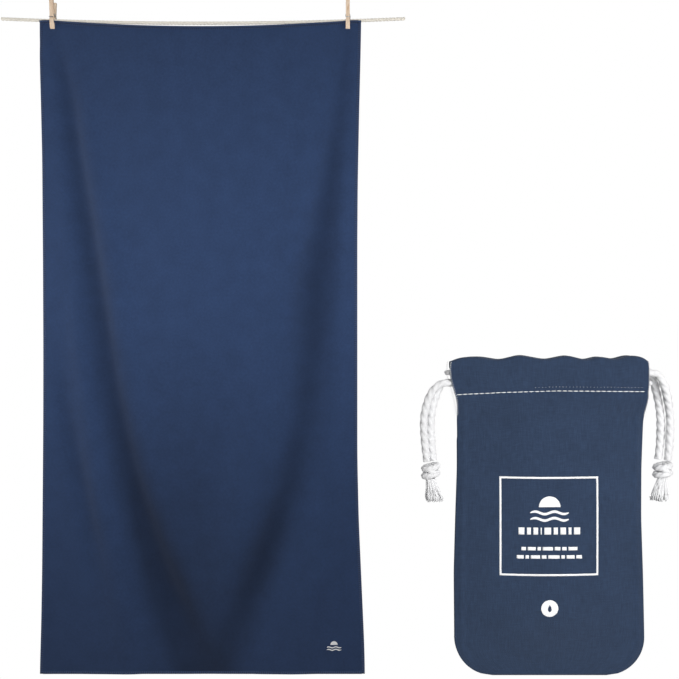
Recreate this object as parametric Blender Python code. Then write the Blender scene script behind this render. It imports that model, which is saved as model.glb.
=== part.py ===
"""Quick dry towel on its line, with two spring pegs and the drawstring pouch it packs into.

Units are metres, +Z is up and the front faces -Y. The origin is on the centre of the line,
level with the pegs and midway between the towel's top corners.
"""

import math

import bmesh
import bpy
import numpy as np

MM = 0.001
GAP = 0.3 * MM

# The line: a cotton rope, nearly straight, held at both cut ends.
LINE_DIAMETER = 8 * MM
LINE_LEFT = -490 * MM
LINE_RIGHT = 499 * MM
LINE_SAG = 11 * MM
LINE_MIDDLE_Z = -6 * MM
LINE_STEP = 20 * MM

# The towel: a 0.8 by 1.6 metre cut of microfibre, drawn in a little by its folds.
TOWEL_LEFT = -395.5 * MM
TOWEL_RIGHT = 391 * MM
TOWEL_DRAWN_IN = 8.5 * MM
TOWEL_CORNER_FLARE = 9 * MM
TOWEL_BOTTOM = -1.601
TOWEL_TOP_SAG = 16 * MM
TOWEL_TOP_HIGHEST = -1.5 * MM
TOWEL_THICK = 0.8 * MM
TOWEL_CURL = 3.9 * MM
TOWEL_CURL_HEIGHT = 4.5 * MM
TOWEL_COLUMNS = 14
HEM_WIDTH = 6 * MM
HEM_THREAD = 0.3 * MM
HEM_GAP = 0.4 * MM

# The pegs: two wooden legs about a wire spring. Depths are measured from the plane
# between the jaws, and heights from the line's centre.
PEG_PLACES = {"left": -363.6 * MM, "right": 358.7 * MM}
JAW_PLANE_Y = -1.2 * MM
JAW_HALF_GAP = 1.35 * MM
PEG_TOP = 47.3 * MM
PEG_TIP = -21.3 * MM
LEG_OUTER_DEPTH = 9 * MM
LEG_TOP_INNER = 6.6 * MM
LEG_TOP_OUTER = 12.4 * MM
LEG_TIP_OUTER = 4.6 * MM
LEG_HALF_WIDTH = 4.7 * MM
JAW_HALF_WIDTH = 5.4 * MM
FRONT_NOTCH_RADIUS = 7.6 * MM
BACK_NOTCH_RADIUS = 4.7 * MM
COIL_Z = 13 * MM
COIL_RADIUS = 2.75 * MM
COIL_GROOVE_RADIUS = 3.9 * MM
COIL_TURNS = 6
WIRE_RADIUS = 0.8 * MM
WIRE_CROSSING_Z = 5 * MM
WIRE_DEPTH = 9.3 * MM
WIRE_GROOVE_RADIUS = 1.15 * MM
ARM_X = 5.8 * MM

# The pouch: its base is centred on this point, and its own measures are from there.
POUCH_PLACE = np.array([523.4, -1020.8, -1077.4]) * MM
POUCH_CORNER = 34 * MM
POUCH_SIDE_HEIGHTS = np.array([34, 90, 175, 215, 250, 280]) * MM
POUCH_SIDE_HALVES = np.array([83.0, 83.6, 81.2, 82.4, 85.0, 87.4]) * MM
POUCH_CLOTH = 1.0 * MM
POUCH_BELLY = 8 * MM
POUCH_COLUMNS = 14
SEAM_HALF_GAP = 1.2 * MM
SEAM_THICK = 0.8 * MM
SEAM_WIDTH = 5 * MM
MOUTH_HALF_GAP = 2.5 * MM
CHANNEL_THICK = 0.8 * MM
CHANNEL_BOTTOM = 249 * MM
CHANNEL_TOP = 279 * MM
CHANNEL_HALF_WIDTH = 85 * MM
STITCH_Z = 250 * MM

# The drawstrings: soft cotton cords, squeezed where they run in the channel.
CORD_DIAMETER = 6.8 * MM
RUN_DIAMETER = 4.4 * MM
RUN_DEPTH = MOUTH_HALF_GAP + CHANNEL_THICK + GAP + RUN_DIAMETER / 2
RUN_HALF_LENGTH = 84.5 * MM
RUN_HEIGHTS = {"left": 257.5 * MM, "right": 266.5 * MM}
HEADER_DEPTH = RUN_DEPTH + RUN_DIAMETER / 2 + GAP + POUCH_CLOTH / 2

# The prints on the pouch and the embroidery on the towel.
PRINT_THICK = 0.3 * MM
PRINT_MIDDLE_X = -1.5 * MM
FRAME_HALF = 43.7 * MM
FRAME_MIDDLE_Z = 132.6 * MM
FRAME_LINE = 1.5 * MM
SUN_RADIUS = 9 * MM
SUN_Z = 149.5 * MM
WAVE_HALF_WIDTH = 16 * MM
WAVE_HEIGHTS = {"upper": 144.5 * MM, "lower": 138.8 * MM}
BARS = {
    "bold": (-27.5, 27.5, 124.8, 132.2),
    "upper": (-25, 25, 111, 115.2),
    "lower": (-29, 29, 103.8, 108.2),
}
DISC_RADIUS = 7.5 * MM
DISC_Z = 61 * MM
EMBLEM_PLACE = (325 * MM, -1532 * MM)
EMBLEM_SUN_RADIUS = 9 * MM
EMBLEM_WAVES_BELOW = {"upper": 4 * MM, "lower": 10 * MM}
EMBLEM_WAVE_HALF_WIDTH = 18 * MM
EMBLEM_THICK = 0.5 * MM
CARE_LABEL_X = (-372 * MM, -342 * MM)
CARE_LABEL_Z = (-1592 * MM, -1540 * MM)

WOOD = ("#C9A06E", 0.6, 0.0)
PALE_WOOD = ("#D8BF98", 0.6, 0.0)
STEEL = ("#B9BCC0", 0.3, 1.0)
ROPE = ("#E9E3D3", 0.9, 0.0)
NAVY = ("#263A5C", 0.95, 0.0)
NAVY_THREAD = ("#1D2C48", 0.9, 0.0)
WHITE_THREAD = ("#EEEDE8", 0.85, 0.0)
CANVAS = ("#34465F", 0.95, 0.0)
COTTON = ("#F0EEE8", 0.9, 0.0)
INK = ("#F2F2EE", 0.7, 0.0)
DARK_INK = ("#2C3850", 0.7, 0.0)
LABEL = ("#DADAD6", 0.8, 0.0)


def material_for(look):
    """The material of this colour, roughness and metallic value, made once."""
    code, roughness, metallic = look
    name = "look_" + code[1:]
    found = bpy.data.materials.get(name)
    if found:
        return found
    material = bpy.data.materials.new(name)
    material.use_nodes = True
    channels = [int(code[k : k + 2], 16) / 255 for k in (1, 3, 5)]
    linear = [c / 12.92 if c <= 0.04045 else ((c + 0.055) / 1.055) ** 2.4 for c in channels]
    shader = material.node_tree.nodes["Principled BSDF"]
    shader.inputs["Base Color"].default_value = (*linear, 1)
    shader.inputs["Roughness"].default_value = roughness
    shader.inputs["Metallic"].default_value = metallic
    return material


def add_object(name, data, look, pivot=None):
    """Links an object, with its origin moved to the pivot if one is given."""
    data.materials.append(material_for(look))
    thing = bpy.data.objects.new(name, data)
    bpy.context.scene.collection.objects.link(thing)
    if pivot is not None:
        thing.parent = pivot
        thing.matrix_parent_inverse = pivot.matrix_world.inverted()
    return thing


def add_pivot(name, place):
    """An empty on a joint's axis, which the pieces that it moves are parented to."""
    pivot = bpy.data.objects.new(name, None)
    pivot.location = place
    pivot.empty_display_size = 0.02
    bpy.context.scene.collection.objects.link(pivot)
    bpy.context.view_layer.update()
    return pivot


def mesh_from(name, points, faces):
    """A mesh of these points and faces, with every normal turned outwards."""
    mesh = bpy.data.meshes.new(name)
    mesh.from_pydata([tuple(p) for p in points], [], [tuple(f) for f in faces])
    work = bmesh.new()
    work.from_mesh(mesh)
    bmesh.ops.recalc_face_normals(work, faces=work.faces)
    work.to_mesh(mesh)
    work.free()
    return mesh


def add_sweep(name, sections, look, pivot=None, ring=False):
    """A closed solid through sections, each the same number of points round a profile."""
    stations, around = sections.shape[:2]
    index = np.arange(stations * around).reshape(stations, around)
    after = np.roll(index, -1, axis=0)
    first, second = (index, after) if ring else (index[:-1], index[1:])
    turned = (np.roll(first, -1, axis=1), np.roll(second, -1, axis=1))
    sides = np.stack([first, turned[0], turned[1], second], axis=-1).reshape(-1, 4)
    faces = [list(f) for f in sides]
    if not ring:
        faces += [list(index[0]), list(index[-1][::-1])]
    return add_object(name, mesh_from(name, sections.reshape(-1, 3), faces), look, pivot)


def add_sheet(name, grid, thick, look, pivot=None):
    """A cloth panel: a grid of points, thickened evenly to its front and its back."""
    rows, columns = grid.shape[:2]
    behind = rows * columns
    front = np.arange(behind).reshape(rows, columns)
    corners = [front[:-1, :-1], front[:-1, 1:], front[1:, 1:], front[1:, :-1]]
    faces = list(np.stack(corners, axis=-1).reshape(-1, 4))
    faces += [face[::-1] + behind for face in faces]
    rim = np.r_[front[0, :-1], front[:-1, -1], front[-1, :0:-1], front[:0:-1, 0]]
    after = np.roll(rim, -1)
    faces += list(np.stack([rim, rim + behind, after + behind, after], axis=-1))
    half = np.array([0, thick / 2, 0])
    points = np.concatenate([(grid - half).reshape(-1, 3), (grid + half).reshape(-1, 3)])
    return add_object(name, mesh_from(name, points, faces), look, pivot)


def add_patch(name, outline, middle, surface, thick, look, pivot=None):
    """A thin patch on a surface: a fan from the middle to the outline, given as (x, z)."""
    flat = np.array([middle, *outline])
    back = np.array([surface(x, z) for x, z in flat])
    front = back - np.array([0, thick, 0])
    n = len(outline)
    rim = np.arange(n) + 1
    after = np.roll(rim, -1)
    faces = [[0, a, b] for a, b in zip(rim, after)]
    faces += [[n + 1, n + 1 + b, n + 1 + a] for a, b in zip(rim, after)]
    faces += [[a, n + 1 + a, n + 1 + b, b] for a, b in zip(rim, after)]
    return add_object(name, mesh_from(name, np.concatenate([back, front]), faces), look, pivot)


def add_tube(name, route, radius, look, sides=2, pivot=None):
    """A round cord or wire: a curve with a bevel and filled caps, through the route."""
    curve = bpy.data.curves.new(name, "CURVE")
    curve.dimensions = "3D"
    curve.bevel_depth = radius
    curve.bevel_resolution = sides
    curve.use_fill_caps = True
    spline = curve.splines.new("POLY")
    spline.points.add(len(route) - 1)
    spline.points.foreach_set("co", np.c_[route, np.ones(len(route))].ravel())
    spline.use_smooth = True
    return add_object(name, curve, look, pivot)


def smooth_route(points, step):
    """Points every step along a Catmull-Rom curve through the route's own points."""
    p = np.array(points, float)
    p = np.concatenate([[2 * p[0] - p[1]], p, [2 * p[-1] - p[-2]]])
    t = np.linspace(0, 1, 24, endpoint=False)[:, None]
    dense = []
    for a, b, c, d in zip(p, p[1:], p[2:], p[3:]):
        bend = 2 * a - 5 * b + 4 * c - d
        twist = 3 * b - a - 3 * c + d
        dense.append(0.5 * (2 * b + (c - a) * t + bend * t**2 + twist * t**3))
    dense = np.concatenate([*dense, p[-2:-1]])
    along = np.r_[0, np.cumsum(np.linalg.norm(np.diff(dense, axis=0), axis=1))]
    at = np.linspace(0, along[-1], max(3, round(along[-1] / step) + 1))
    return np.stack([np.interp(at, along, dense[:, k]) for k in range(3)], axis=1)


def arc(middle, radius, start, stop, count):
    """Points of an arc, as (depth, height), with angles in radians."""
    angles = np.linspace(start, stop, count)
    return np.stack([middle[0] + radius * np.cos(angles), middle[1] + radius * np.sin(angles)], 1)


def ease(t):
    """0 to 1 with level ends."""
    t = np.clip(t, 0, 1)
    return t * t * (3 - 2 * t)


# ---------------------------------------------------------------- the line


def line_height(x):
    """Height of the line's centre: a shallow sag, level with the pegs at zero."""
    return LINE_MIDDLE_Z + LINE_SAG * (x / LINE_RIGHT) ** 2


def add_line():
    """The rope. Its last stretch at each end is level, so its cut faces look along X."""
    count = round((LINE_RIGHT - LINE_LEFT) / LINE_STEP) + 1
    x = np.linspace(LINE_LEFT, LINE_RIGHT, count)
    z = line_height(x)
    z[0] = z[1]
    z[-1] = z[-2]
    add_tube("line_rope", np.stack([x, 0 * x, z], 1), LINE_DIAMETER / 2, ROPE)


# ---------------------------------------------------------------- the towel


def towel_top(u):
    """Height of the top edge, which hangs in a shallow curve; u is -1 to 1 across."""
    x = TOWEL_RIGHT * (1 + u) / 2 + TOWEL_LEFT * (1 - u) / 2
    return min(-TOWEL_TOP_SAG * (1 - (x / TOWEL_RIGHT) ** 2), TOWEL_TOP_HIGHEST)


def towel_point(u, down):
    """Middle of the cloth, at a length below the top edge."""
    top = towel_top(u)
    share = down / (top - TOWEL_BOTTOM)
    drawn = TOWEL_DRAWN_IN * math.sin(math.pi * share)
    left = TOWEL_LEFT + drawn
    right = TOWEL_RIGHT - drawn + TOWEL_CORNER_FLARE * share**4
    x = right * (1 + u) / 2 + left * (1 - u) / 2
    curl = TOWEL_CURL * (1 - ease(down / TOWEL_CURL_HEIGHT))
    settle = -JAW_PLANE_Y * ease((down - 0.03) / 0.15)
    return np.array([x, JAW_PLANE_Y - curl + settle, top - down])


def towel_columns():
    """Places across the cloth of its columns of points, -1 to 1."""
    inside_hem = 1 - 2 * (HEM_WIDTH + 2 * GAP) / (TOWEL_RIGHT - TOWEL_LEFT)
    middle = np.linspace(-1, 1, TOWEL_COLUMNS + 1)[1:-1]
    return np.r_[-1, -inside_hem, middle, inside_hem, 1]


def towel_rows(u):
    """Lengths below the top edge of the cloth's rows of points, closest at the line."""
    near_top = np.array([0, 1.5, 3, 4.5, 6, 12, 30, 80, 180]) * MM
    return np.r_[near_top, np.linspace(0.35, towel_top(u) - TOWEL_BOTTOM, 8)]


def hem_section(cloth, lip):
    """A U-shaped section of thread round an edge. Cloth holds points on the cloth's middle,
    from the edge inwards, and lip is the way out past the edge."""
    inner = np.array([0, TOWEL_THICK / 2 + HEM_GAP, 0])
    outer = inner + np.array([0, HEM_THREAD, 0])
    front, inside, lining, back = cloth - outer, cloth - inner, cloth + inner, cloth + outer
    for layer, reach in ((front, GAP + HEM_THREAD), (inside, GAP)):
        layer[0] = layer[0] + reach * lip
    for layer, reach in ((lining, GAP), (back, GAP + HEM_THREAD)):
        layer[0] = layer[0] + reach * lip
    return np.concatenate([front, inside[::-1], lining, back[::-1]])


def add_side_hem(name, u, pivot):
    """The overlocked thread down one side, following the cloth's own rows."""
    lip = np.array([u, 0, 0])
    sections = []
    for down in towel_rows(u):
        edge = towel_point(u, down)
        sections.append(hem_section(np.array([edge, edge - HEM_WIDTH * lip]), lip))
    add_sweep(name, np.array(sections), NAVY_THREAD, pivot)


def add_end_hem(name, top, pivot):
    """The overlocked thread along the top or the bottom, between the two side threads."""
    lip = np.array([0, 0, 1 if top else -1])
    sections = []
    for u in towel_columns()[1:-1]:
        steps = np.linspace(0, HEM_WIDTH, 5)
        downs = steps if top else towel_top(u) - TOWEL_BOTTOM - steps
        sections.append(hem_section(np.array([towel_point(u, down) for down in downs]), lip))
    add_sweep(name, np.array(sections), NAVY_THREAD, pivot)


def towel_front(x, z):
    """A point just clear of the cloth's front face, low on the towel where it is flat."""
    return np.array([x, -TOWEL_THICK / 2 - GAP, z])


def towel_back(x, z):
    """A point just clear of the cloth's back face, with room for a patch's thickness."""
    return np.array([x, TOWEL_THICK / 2 + GAP + EMBLEM_THICK, z])


def half_disc(x, z, radius, count=14):
    """Outline of the upper half of a disc, as (x, z)."""
    return [tuple(p) for p in arc((x, z), radius, 0, math.pi, count)]


def wave_sections(x, z, half_width, height, swell, surface, thick, steps=16):
    """Sections of a ribbon that rises and falls twice, lying on a surface."""
    sections = []
    ink = np.array([0, thick, 0])
    for t in np.linspace(-1, 1, steps + 1):
        middle = z + swell * math.sin(2 * math.pi * t)
        low = surface(x + half_width * t, middle - height / 2)
        high = surface(x + half_width * t, middle + height / 2)
        sections.append([low, high, high - ink, low - ink])
    return np.array(sections)


def add_towel(pivot):
    """The sheet, its four overlocked edges, its embroidered emblem and its care label."""
    grid = [[towel_point(u, down) for down in towel_rows(u)] for u in towel_columns()]
    add_sheet("towel_sheet", np.array(grid), TOWEL_THICK, NAVY, pivot)
    add_side_hem("towel_overlock_left", -1, pivot)
    add_side_hem("towel_overlock_right", 1, pivot)
    add_end_hem("towel_overlock_top", True, pivot)
    add_end_hem("towel_overlock_bottom", False, pivot)
    x, z = EMBLEM_PLACE
    sun = half_disc(x, z + 2 * MM, EMBLEM_SUN_RADIUS)
    add_patch("towel_emblem_sun", sun, (x, z + 5 * MM), towel_front, EMBLEM_THICK, WHITE_THREAD, pivot)
    for name, below in EMBLEM_WAVES_BELOW.items():
        half = EMBLEM_WAVE_HALF_WIDTH
        ribbon = wave_sections(x, z - below, half, 2.4 * MM, 1.2 * MM, towel_front, EMBLEM_THICK)
        add_sweep(f"towel_emblem_wave_{name}", ribbon, WHITE_THREAD, pivot)
    left, right = CARE_LABEL_X
    low, high = CARE_LABEL_Z
    outline = [(left, low), (right, low), (right, high), (left, high)]
    middle = ((left + right) / 2, (low + high) / 2)
    add_patch("towel_care_label", outline, middle, towel_back, EMBLEM_THICK, LABEL, pivot)


# ---------------------------------------------------------------- the pegs


def leg_outline(side, notch_radius):
    """Outline of a leg as (y, z). Side is -1 for the front leg and 1 for the back leg."""
    inner_y = JAW_PLANE_Y + side * JAW_HALF_GAP
    half_notch = math.sqrt(notch_radius**2 - inner_y**2)
    half_groove = math.sqrt(COIL_GROOVE_RADIUS**2 - JAW_HALF_GAP**2)
    half_wire = math.sqrt(WIRE_GROOVE_RADIUS**2 - (WIRE_DEPTH - LEG_OUTER_DEPTH) ** 2)
    points = [(inner_y, PEG_TIP)]
    start = math.atan2(-half_notch, side * inner_y)
    notch = arc((0, 0), notch_radius, start, -start, 9)
    points += [(side * y, z) for y, z in notch]
    start = math.atan2(-half_groove, JAW_HALF_GAP)
    groove = arc((0, COIL_Z), COIL_GROOVE_RADIUS, start, -start, 7)
    points += [(JAW_PLANE_Y + side * d, z) for d, z in groove]
    points.append((JAW_PLANE_Y + side * LEG_TOP_INNER, PEG_TOP))
    points.append((JAW_PLANE_Y + side * LEG_TOP_OUTER, PEG_TOP))
    points.append((JAW_PLANE_Y + side * LEG_OUTER_DEPTH, COIL_Z + 4 * MM))
    start = math.atan2(half_wire, LEG_OUTER_DEPTH - WIRE_DEPTH)
    wire = arc((WIRE_DEPTH, WIRE_CROSSING_Z), WIRE_GROOVE_RADIUS, start, 2 * math.pi - start, 7)
    points += [(JAW_PLANE_Y + side * d, z) for d, z in wire]
    points.append((JAW_PLANE_Y + side * LEG_OUTER_DEPTH, -9 * MM))
    points.append((JAW_PLANE_Y + side * LEG_TIP_OUTER, PEG_TIP))
    return points


def add_leg(name, x, side, notch_radius, pivot):
    """A wooden leg: its outline drawn as one face, extruded and widened at the jaws."""
    work = bmesh.new()
    outline = leg_outline(side, notch_radius)
    face = work.faces.new([work.verts.new((-0.5, y, z)) for y, z in outline])
    made = bmesh.ops.extrude_face_region(work, geom=[face])
    across = [g for g in made["geom"] if isinstance(g, bmesh.types.BMVert)]
    bmesh.ops.translate(work, verts=across, vec=(1, 0, 0))
    for vertex in work.verts:
        half = LEG_HALF_WIDTH + (JAW_HALF_WIDTH - LEG_HALF_WIDTH) * ease(-vertex.co.z / -PEG_TIP)
        vertex.co.x = x + 2 * vertex.co.x * half
    bmesh.ops.recalc_face_normals(work, faces=work.faces)
    mesh = bpy.data.meshes.new(name)
    work.to_mesh(mesh)
    work.free()
    leg = add_object(name, mesh, WOOD if side < 0 else PALE_WOOD, pivot)
    bevel = leg.modifiers.new("worn_edges", "BEVEL")
    bevel.width = 0.3 * MM
    bevel.segments = 1
    bevel.limit_method = "ANGLE"
    bevel.angle_limit = math.radians(60)
    return leg


def arm_route(x, side):
    """Route of a spring arm outside the coil: past the leg's side, then over its face."""
    turns = [
        (side * ARM_X, 5.0 * MM, 8.7 * MM),
        (side * ARM_X, 8.0 * MM, 6.4 * MM),
        (side * 5.3 * MM, 9.15 * MM, 5.25 * MM),
        (side * 4.3 * MM, WIRE_DEPTH, WIRE_CROSSING_Z),
        (-side * 4.4 * MM, WIRE_DEPTH, WIRE_CROSSING_Z),
    ]
    return [(x + a, JAW_PLANE_Y + side * depth, z) for a, depth, z in turns]


def add_spring(name, x, back_pivot, front_pivot):
    """The wire spring: its coil with the back arm, and the front arm as its own piece."""
    turn = np.linspace(0, 2 * math.pi * COIL_TURNS, 10 * COIL_TURNS + 1)
    across = np.linspace(-ARM_X, ARM_X, len(turn))
    y = JAW_PLANE_Y + COIL_RADIUS * np.sin(turn)
    z = COIL_Z - COIL_RADIUS * np.cos(turn)
    coil = np.stack([x + across, y, z], 1)
    route = np.concatenate([coil, arm_route(x, 1)])
    add_tube(f"{name}_spring_coil", route, WIRE_RADIUS, STEEL, 1, back_pivot)
    start = (x - ARM_X, JAW_PLANE_Y - 0.6 * MM, COIL_Z - COIL_RADIUS - 0.03 * MM)
    route = np.array([start, *arm_route(x, -1)])
    add_tube(f"{name}_spring_front_arm", route, WIRE_RADIUS, STEEL, 1, front_pivot)


def add_pegs(towel_pivot):
    """Two pegs. The back leg stays with the towel and the front leg turns on the coil."""
    for side, x in PEG_PLACES.items():
        name = f"peg_{side}"
        front = add_pivot(f"{name}_hinge", (x, JAW_PLANE_Y, COIL_Z))
        add_leg(f"{name}_back_leg", x, 1, BACK_NOTCH_RADIUS, towel_pivot)
        add_leg(f"{name}_front_leg", x, -1, FRONT_NOTCH_RADIUS, front)
        add_spring(name, x, towel_pivot, front)


# ---------------------------------------------------------------- the pouch


def pouch_half_width(z):
    """Half the pouch's width at a height above its base, with round bottom corners."""
    half = np.interp(z, POUCH_SIDE_HEIGHTS, POUCH_SIDE_HALVES)
    if z < POUCH_CORNER:
        rise = POUCH_CORNER - z
        half += math.sqrt(POUCH_CORNER**2 - rise**2) - POUCH_CORNER
    return half


def pouch_depth(u, z):
    """Distance of a panel's middle from the pouch's middle plane."""
    fill = ease(z / 0.07) * (1 - 0.35 * ease((z - 0.15) / 0.1))
    body = SEAM_HALF_GAP + POUCH_BELLY * fill * (1 - abs(u) ** 2.4)
    return body + (HEADER_DEPTH - body) * ease((z - 0.222) / 0.026)


def pouch_point(x, z, side=-1, lift=0.0):
    """A point on the middle of a panel, lifted outwards, in world coordinates."""
    depth = pouch_depth(x / pouch_half_width(z), z) + lift
    return POUCH_PLACE + np.array([x, side * depth, z])


def pouch_front(x, z):
    """A point just clear of the front panel's outer face."""
    return pouch_point(x, z, -1, POUCH_CLOTH / 2 + GAP)


def on_disc(x, z):
    """A point just clear of the white disc's face."""
    return pouch_front(x, z) - np.array([0, PRINT_THICK + GAP, 0])


def add_panel(name, side, pivot):
    rows = np.array([0, 1.2, 4.5, 10, 17, 25, 34, 50, 70, 95, 125, 155, 185, 208, 222]) * MM
    rows = np.r_[rows, np.array([229, 236, 243, 250, 265, 280]) * MM]
    columns = np.linspace(-1, 1, POUCH_COLUMNS + 1)
    grid = [[pouch_point(u * pouch_half_width(z), z, side) for u in columns] for z in rows]
    add_sheet(name, np.array(grid), POUCH_CLOTH, CANVAS, pivot)


def add_channel(name, side, pivot):
    """The turned-in cloth that makes the drawstring's channel, C-shaped in section."""
    inner = MOUTH_HALF_GAP
    wall = inner + CHANNEL_THICK
    reach = HEADER_DEPTH - POUCH_CLOTH / 2 - GAP
    low = CHANNEL_BOTTOM
    high = CHANNEL_TOP
    profile = [(reach, low), (inner, low), (inner, high), (reach, high)]
    profile += [(reach, high - CHANNEL_THICK), (wall, high - CHANNEL_THICK)]
    profile += [(wall, low + CHANNEL_THICK), (reach, low + CHANNEL_THICK)]
    sections = []
    for x in (-CHANNEL_HALF_WIDTH, CHANNEL_HALF_WIDTH):
        sections.append([POUCH_PLACE + np.array([x, side * d, z]) for d, z in profile])
    add_sweep(name, np.array(sections), CANVAS, pivot)


def add_stitch_row(name, side, pivot):
    """The white thread that closes the channel, across the outside of a panel."""
    sections = []
    half = 0.4 * MM
    lift = POUCH_CLOTH / 2 + GAP
    for u in np.linspace(-0.985, 0.985, POUCH_COLUMNS + 1):
        x = u * pouch_half_width(STITCH_Z)
        corners = [(-half, 0), (half, 0), (half, 0.4 * MM), (-half, 0.4 * MM)]
        sections.append([pouch_point(x, STITCH_Z + up, side, lift + out) for up, out in corners])
    add_sweep(name, np.array(sections), WHITE_THREAD, pivot)


def add_side_seam(name, side, pivot):
    """The seam allowance that lies inside, between the two panels, down one side."""
    sections = []
    half = SEAM_THICK / 2
    for z in np.array([35.3, 60, 90, 125, 155, 185, 221]) * MM:
        edge = side * (pouch_half_width(z) - GAP)
        inside = edge - side * SEAM_WIDTH
        corners = [(edge, -half), (inside, -half), (inside, half), (edge, half)]
        sections.append([POUCH_PLACE + np.array([x, y, z]) for x, y in corners])
    add_sweep(name, np.array(sections), CANVAS, pivot)


def add_bottom_seam(name, pivot):
    """The seam allowance round the base and both corners."""
    half = SEAM_THICK / 2
    middle = POUCH_SIDE_HALVES[0] - POUCH_CORNER
    left = arc((-middle, POUCH_CORNER), POUCH_CORNER, math.pi, 1.5 * math.pi, 8)
    right = arc((middle, POUCH_CORNER), POUCH_CORNER, -0.5 * math.pi, 0, 8)
    sections = []
    for x, z in np.concatenate([left, right]):
        across = np.array([math.copysign(middle, x) - x, POUCH_CORNER - z])
        across = across / np.linalg.norm(across)
        edge = np.array([x, z]) + across * 2 * GAP
        inside = edge + across * SEAM_WIDTH
        corners = [(*edge, -half), (*inside, -half), (*inside, half), (*edge, half)]
        sections.append([POUCH_PLACE + np.array([a, y, b]) for a, b, y in corners])
    add_sweep(name, np.array(sections), CANVAS, pivot)


def add_print_frame(pivot):
    """The printed square, a ring that follows the front panel."""
    side = np.linspace(-1, 1, 7)[:-1]
    square = [(t, -1) for t in side] + [(1, t) for t in side]
    square += [(-t, 1) for t in side] + [(-1, -t) for t in side]
    sections = []
    for a, b in square:
        section = []
        for reach in (FRAME_HALF, FRAME_HALF - FRAME_LINE):
            base = pouch_front(PRINT_MIDDLE_X + a * reach, FRAME_MIDDLE_Z + b * reach)
            section.append(base)
            section.append(base - np.array([0, PRINT_THICK, 0]))
        sections.append([section[0], section[1], section[3], section[2]])
    add_sweep("pouch_print_frame", np.array(sections), INK, pivot, ring=True)


def add_print_bar(name, left, right, low, high, pivot):
    """A plain printed bar, where a line of printing would be."""
    sections = []
    for x in PRINT_MIDDLE_X + np.linspace(left, right, 6):
        bottom, top = pouch_front(x, low), pouch_front(x, high)
        ink = np.array([0, PRINT_THICK, 0])
        sections.append([bottom, top, top - ink, bottom - ink])
    add_sweep(name, np.array(sections), INK, pivot)


def add_prints(pivot):
    """The square with a sun over two waves and three bars, and the disc below it."""
    add_print_frame(pivot)
    x = PRINT_MIDDLE_X
    sun = half_disc(x, SUN_Z, SUN_RADIUS)
    sun_middle = (x, SUN_Z + SUN_RADIUS / 3)
    add_patch("pouch_print_sun", sun, sun_middle, pouch_front, PRINT_THICK, INK, pivot)
    for name, z in WAVE_HEIGHTS.items():
        wave = wave_sections(x, z, WAVE_HALF_WIDTH, 2 * MM, MM, pouch_front, PRINT_THICK, 12)
        add_sweep(f"pouch_print_wave_{name}", wave, INK, pivot)
    for name, edges in BARS.items():
        add_print_bar(f"pouch_print_bar_{name}", *(np.array(edges) * MM), pivot)
    disc = [tuple(p) for p in arc((x, DISC_Z), DISC_RADIUS, 0, 2 * math.pi, 25)[:-1]]
    add_patch("pouch_size_disc", disc, (x, DISC_Z), pouch_front, PRINT_THICK, INK, pivot)
    drop = [tuple(p) for p in arc((x, DISC_Z - MM), 2 * MM, -1.25 * math.pi, 0.25 * math.pi, 10)]
    drop.append((x, DISC_Z + 3.4 * MM))
    add_patch("pouch_size_mark", drop, (x, DISC_Z - MM), on_disc, PRINT_THICK, DARK_INK, pivot)


# ---------------------------------------------------------------- the drawstrings

# Routes of the strands outside the pouch, from its side to the knot, in the pouch's own
# measures: across, depth and height, in millimetres.
STRAND_ROUTES = {
    "left_front": [
        (-89, -5.2, 257.5), (-96, -5.2, 256.8), (-103.5, -4.4, 249.5),
        (-108.6, -3.2, 236), (-110.6, -2.8, 222), (-109.4, -2.8, 204), (-107.8, -2.8, 188.2),
    ],
    "left_back": [
        (-89, 5.2, 257.5), (-94.5, 5.0, 254.8), (-99, 4.2, 245),
        (-102.2, 3.2, 233), (-103.3, 2.8, 219), (-102.7, 2.8, 203), (-101.2, 2.8, 188.2),
    ],
    "right_front": [
        (91, -5.2, 266.5), (96.5, -6.0, 263), (101.2, -5.6, 253),
        (104.9, -3.8, 240), (106.9, -2.9, 226), (106.5, -2.8, 207), (104.9, -2.8, 189.2),
    ],
    "right_back": [
        (91, 5.2, 266.5), (95.5, 6.2, 262.5), (98.4, 6.0, 252),
        (100.2, 4.2, 240), (101.5, 2.9, 224), (101.1, 2.8, 206), (99.2, 2.8, 189.2),
    ],
}
KNOTS = {"left": (-104.0, 179.4), "right": (101.9, 180.3)}
KNOT_HALVES = (9.6, 8.6, 7.6)
TASSEL_LENGTH = 21
TASSEL_LEANS = {"left": 3.5, "right": -3.5}


def in_pouch(points):
    return POUCH_PLACE + np.array(points, float) * MM


def add_knot(name, place, pivot):
    """An overhand knot in both strands, as one rounded solid."""
    work = bmesh.new()
    bmesh.ops.create_uvsphere(work, u_segments=14, v_segments=8, radius=1)
    for vertex in work.verts:
        lobes = 1 - 0.07 * math.cos(3 * math.atan2(vertex.co.y, vertex.co.x))
        size = np.array(KNOT_HALVES) * lobes / 1.07
        size[2] = KNOT_HALVES[2]
        vertex.co = place + np.array(vertex.co) * size * MM
    mesh = bpy.data.meshes.new(name)
    work.to_mesh(mesh)
    work.free()
    mesh.shade_smooth()
    add_object(name, mesh, COTTON, pivot)


def add_tassel(name, top, lean, pivot):
    """The frayed ends below the knot: a flared bundle that leans a little."""
    sections = []
    for share, half in ((0, 4.5), (0.25, 5.6), (0.6, 7.4), (1, 8.4)):
        middle = top + np.array([lean * share, 0, -TASSEL_LENGTH * share]) * MM
        around = np.linspace(0, 2 * math.pi, 15)[:-1]
        ring = np.stack([half * np.cos(around), 0.7 * half * np.sin(around), 0 * around], 1)
        sections.append(middle + ring * MM)
    tassel = add_sweep(name, np.array(sections), COTTON, pivot)
    tassel.data.shade_smooth()


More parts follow.
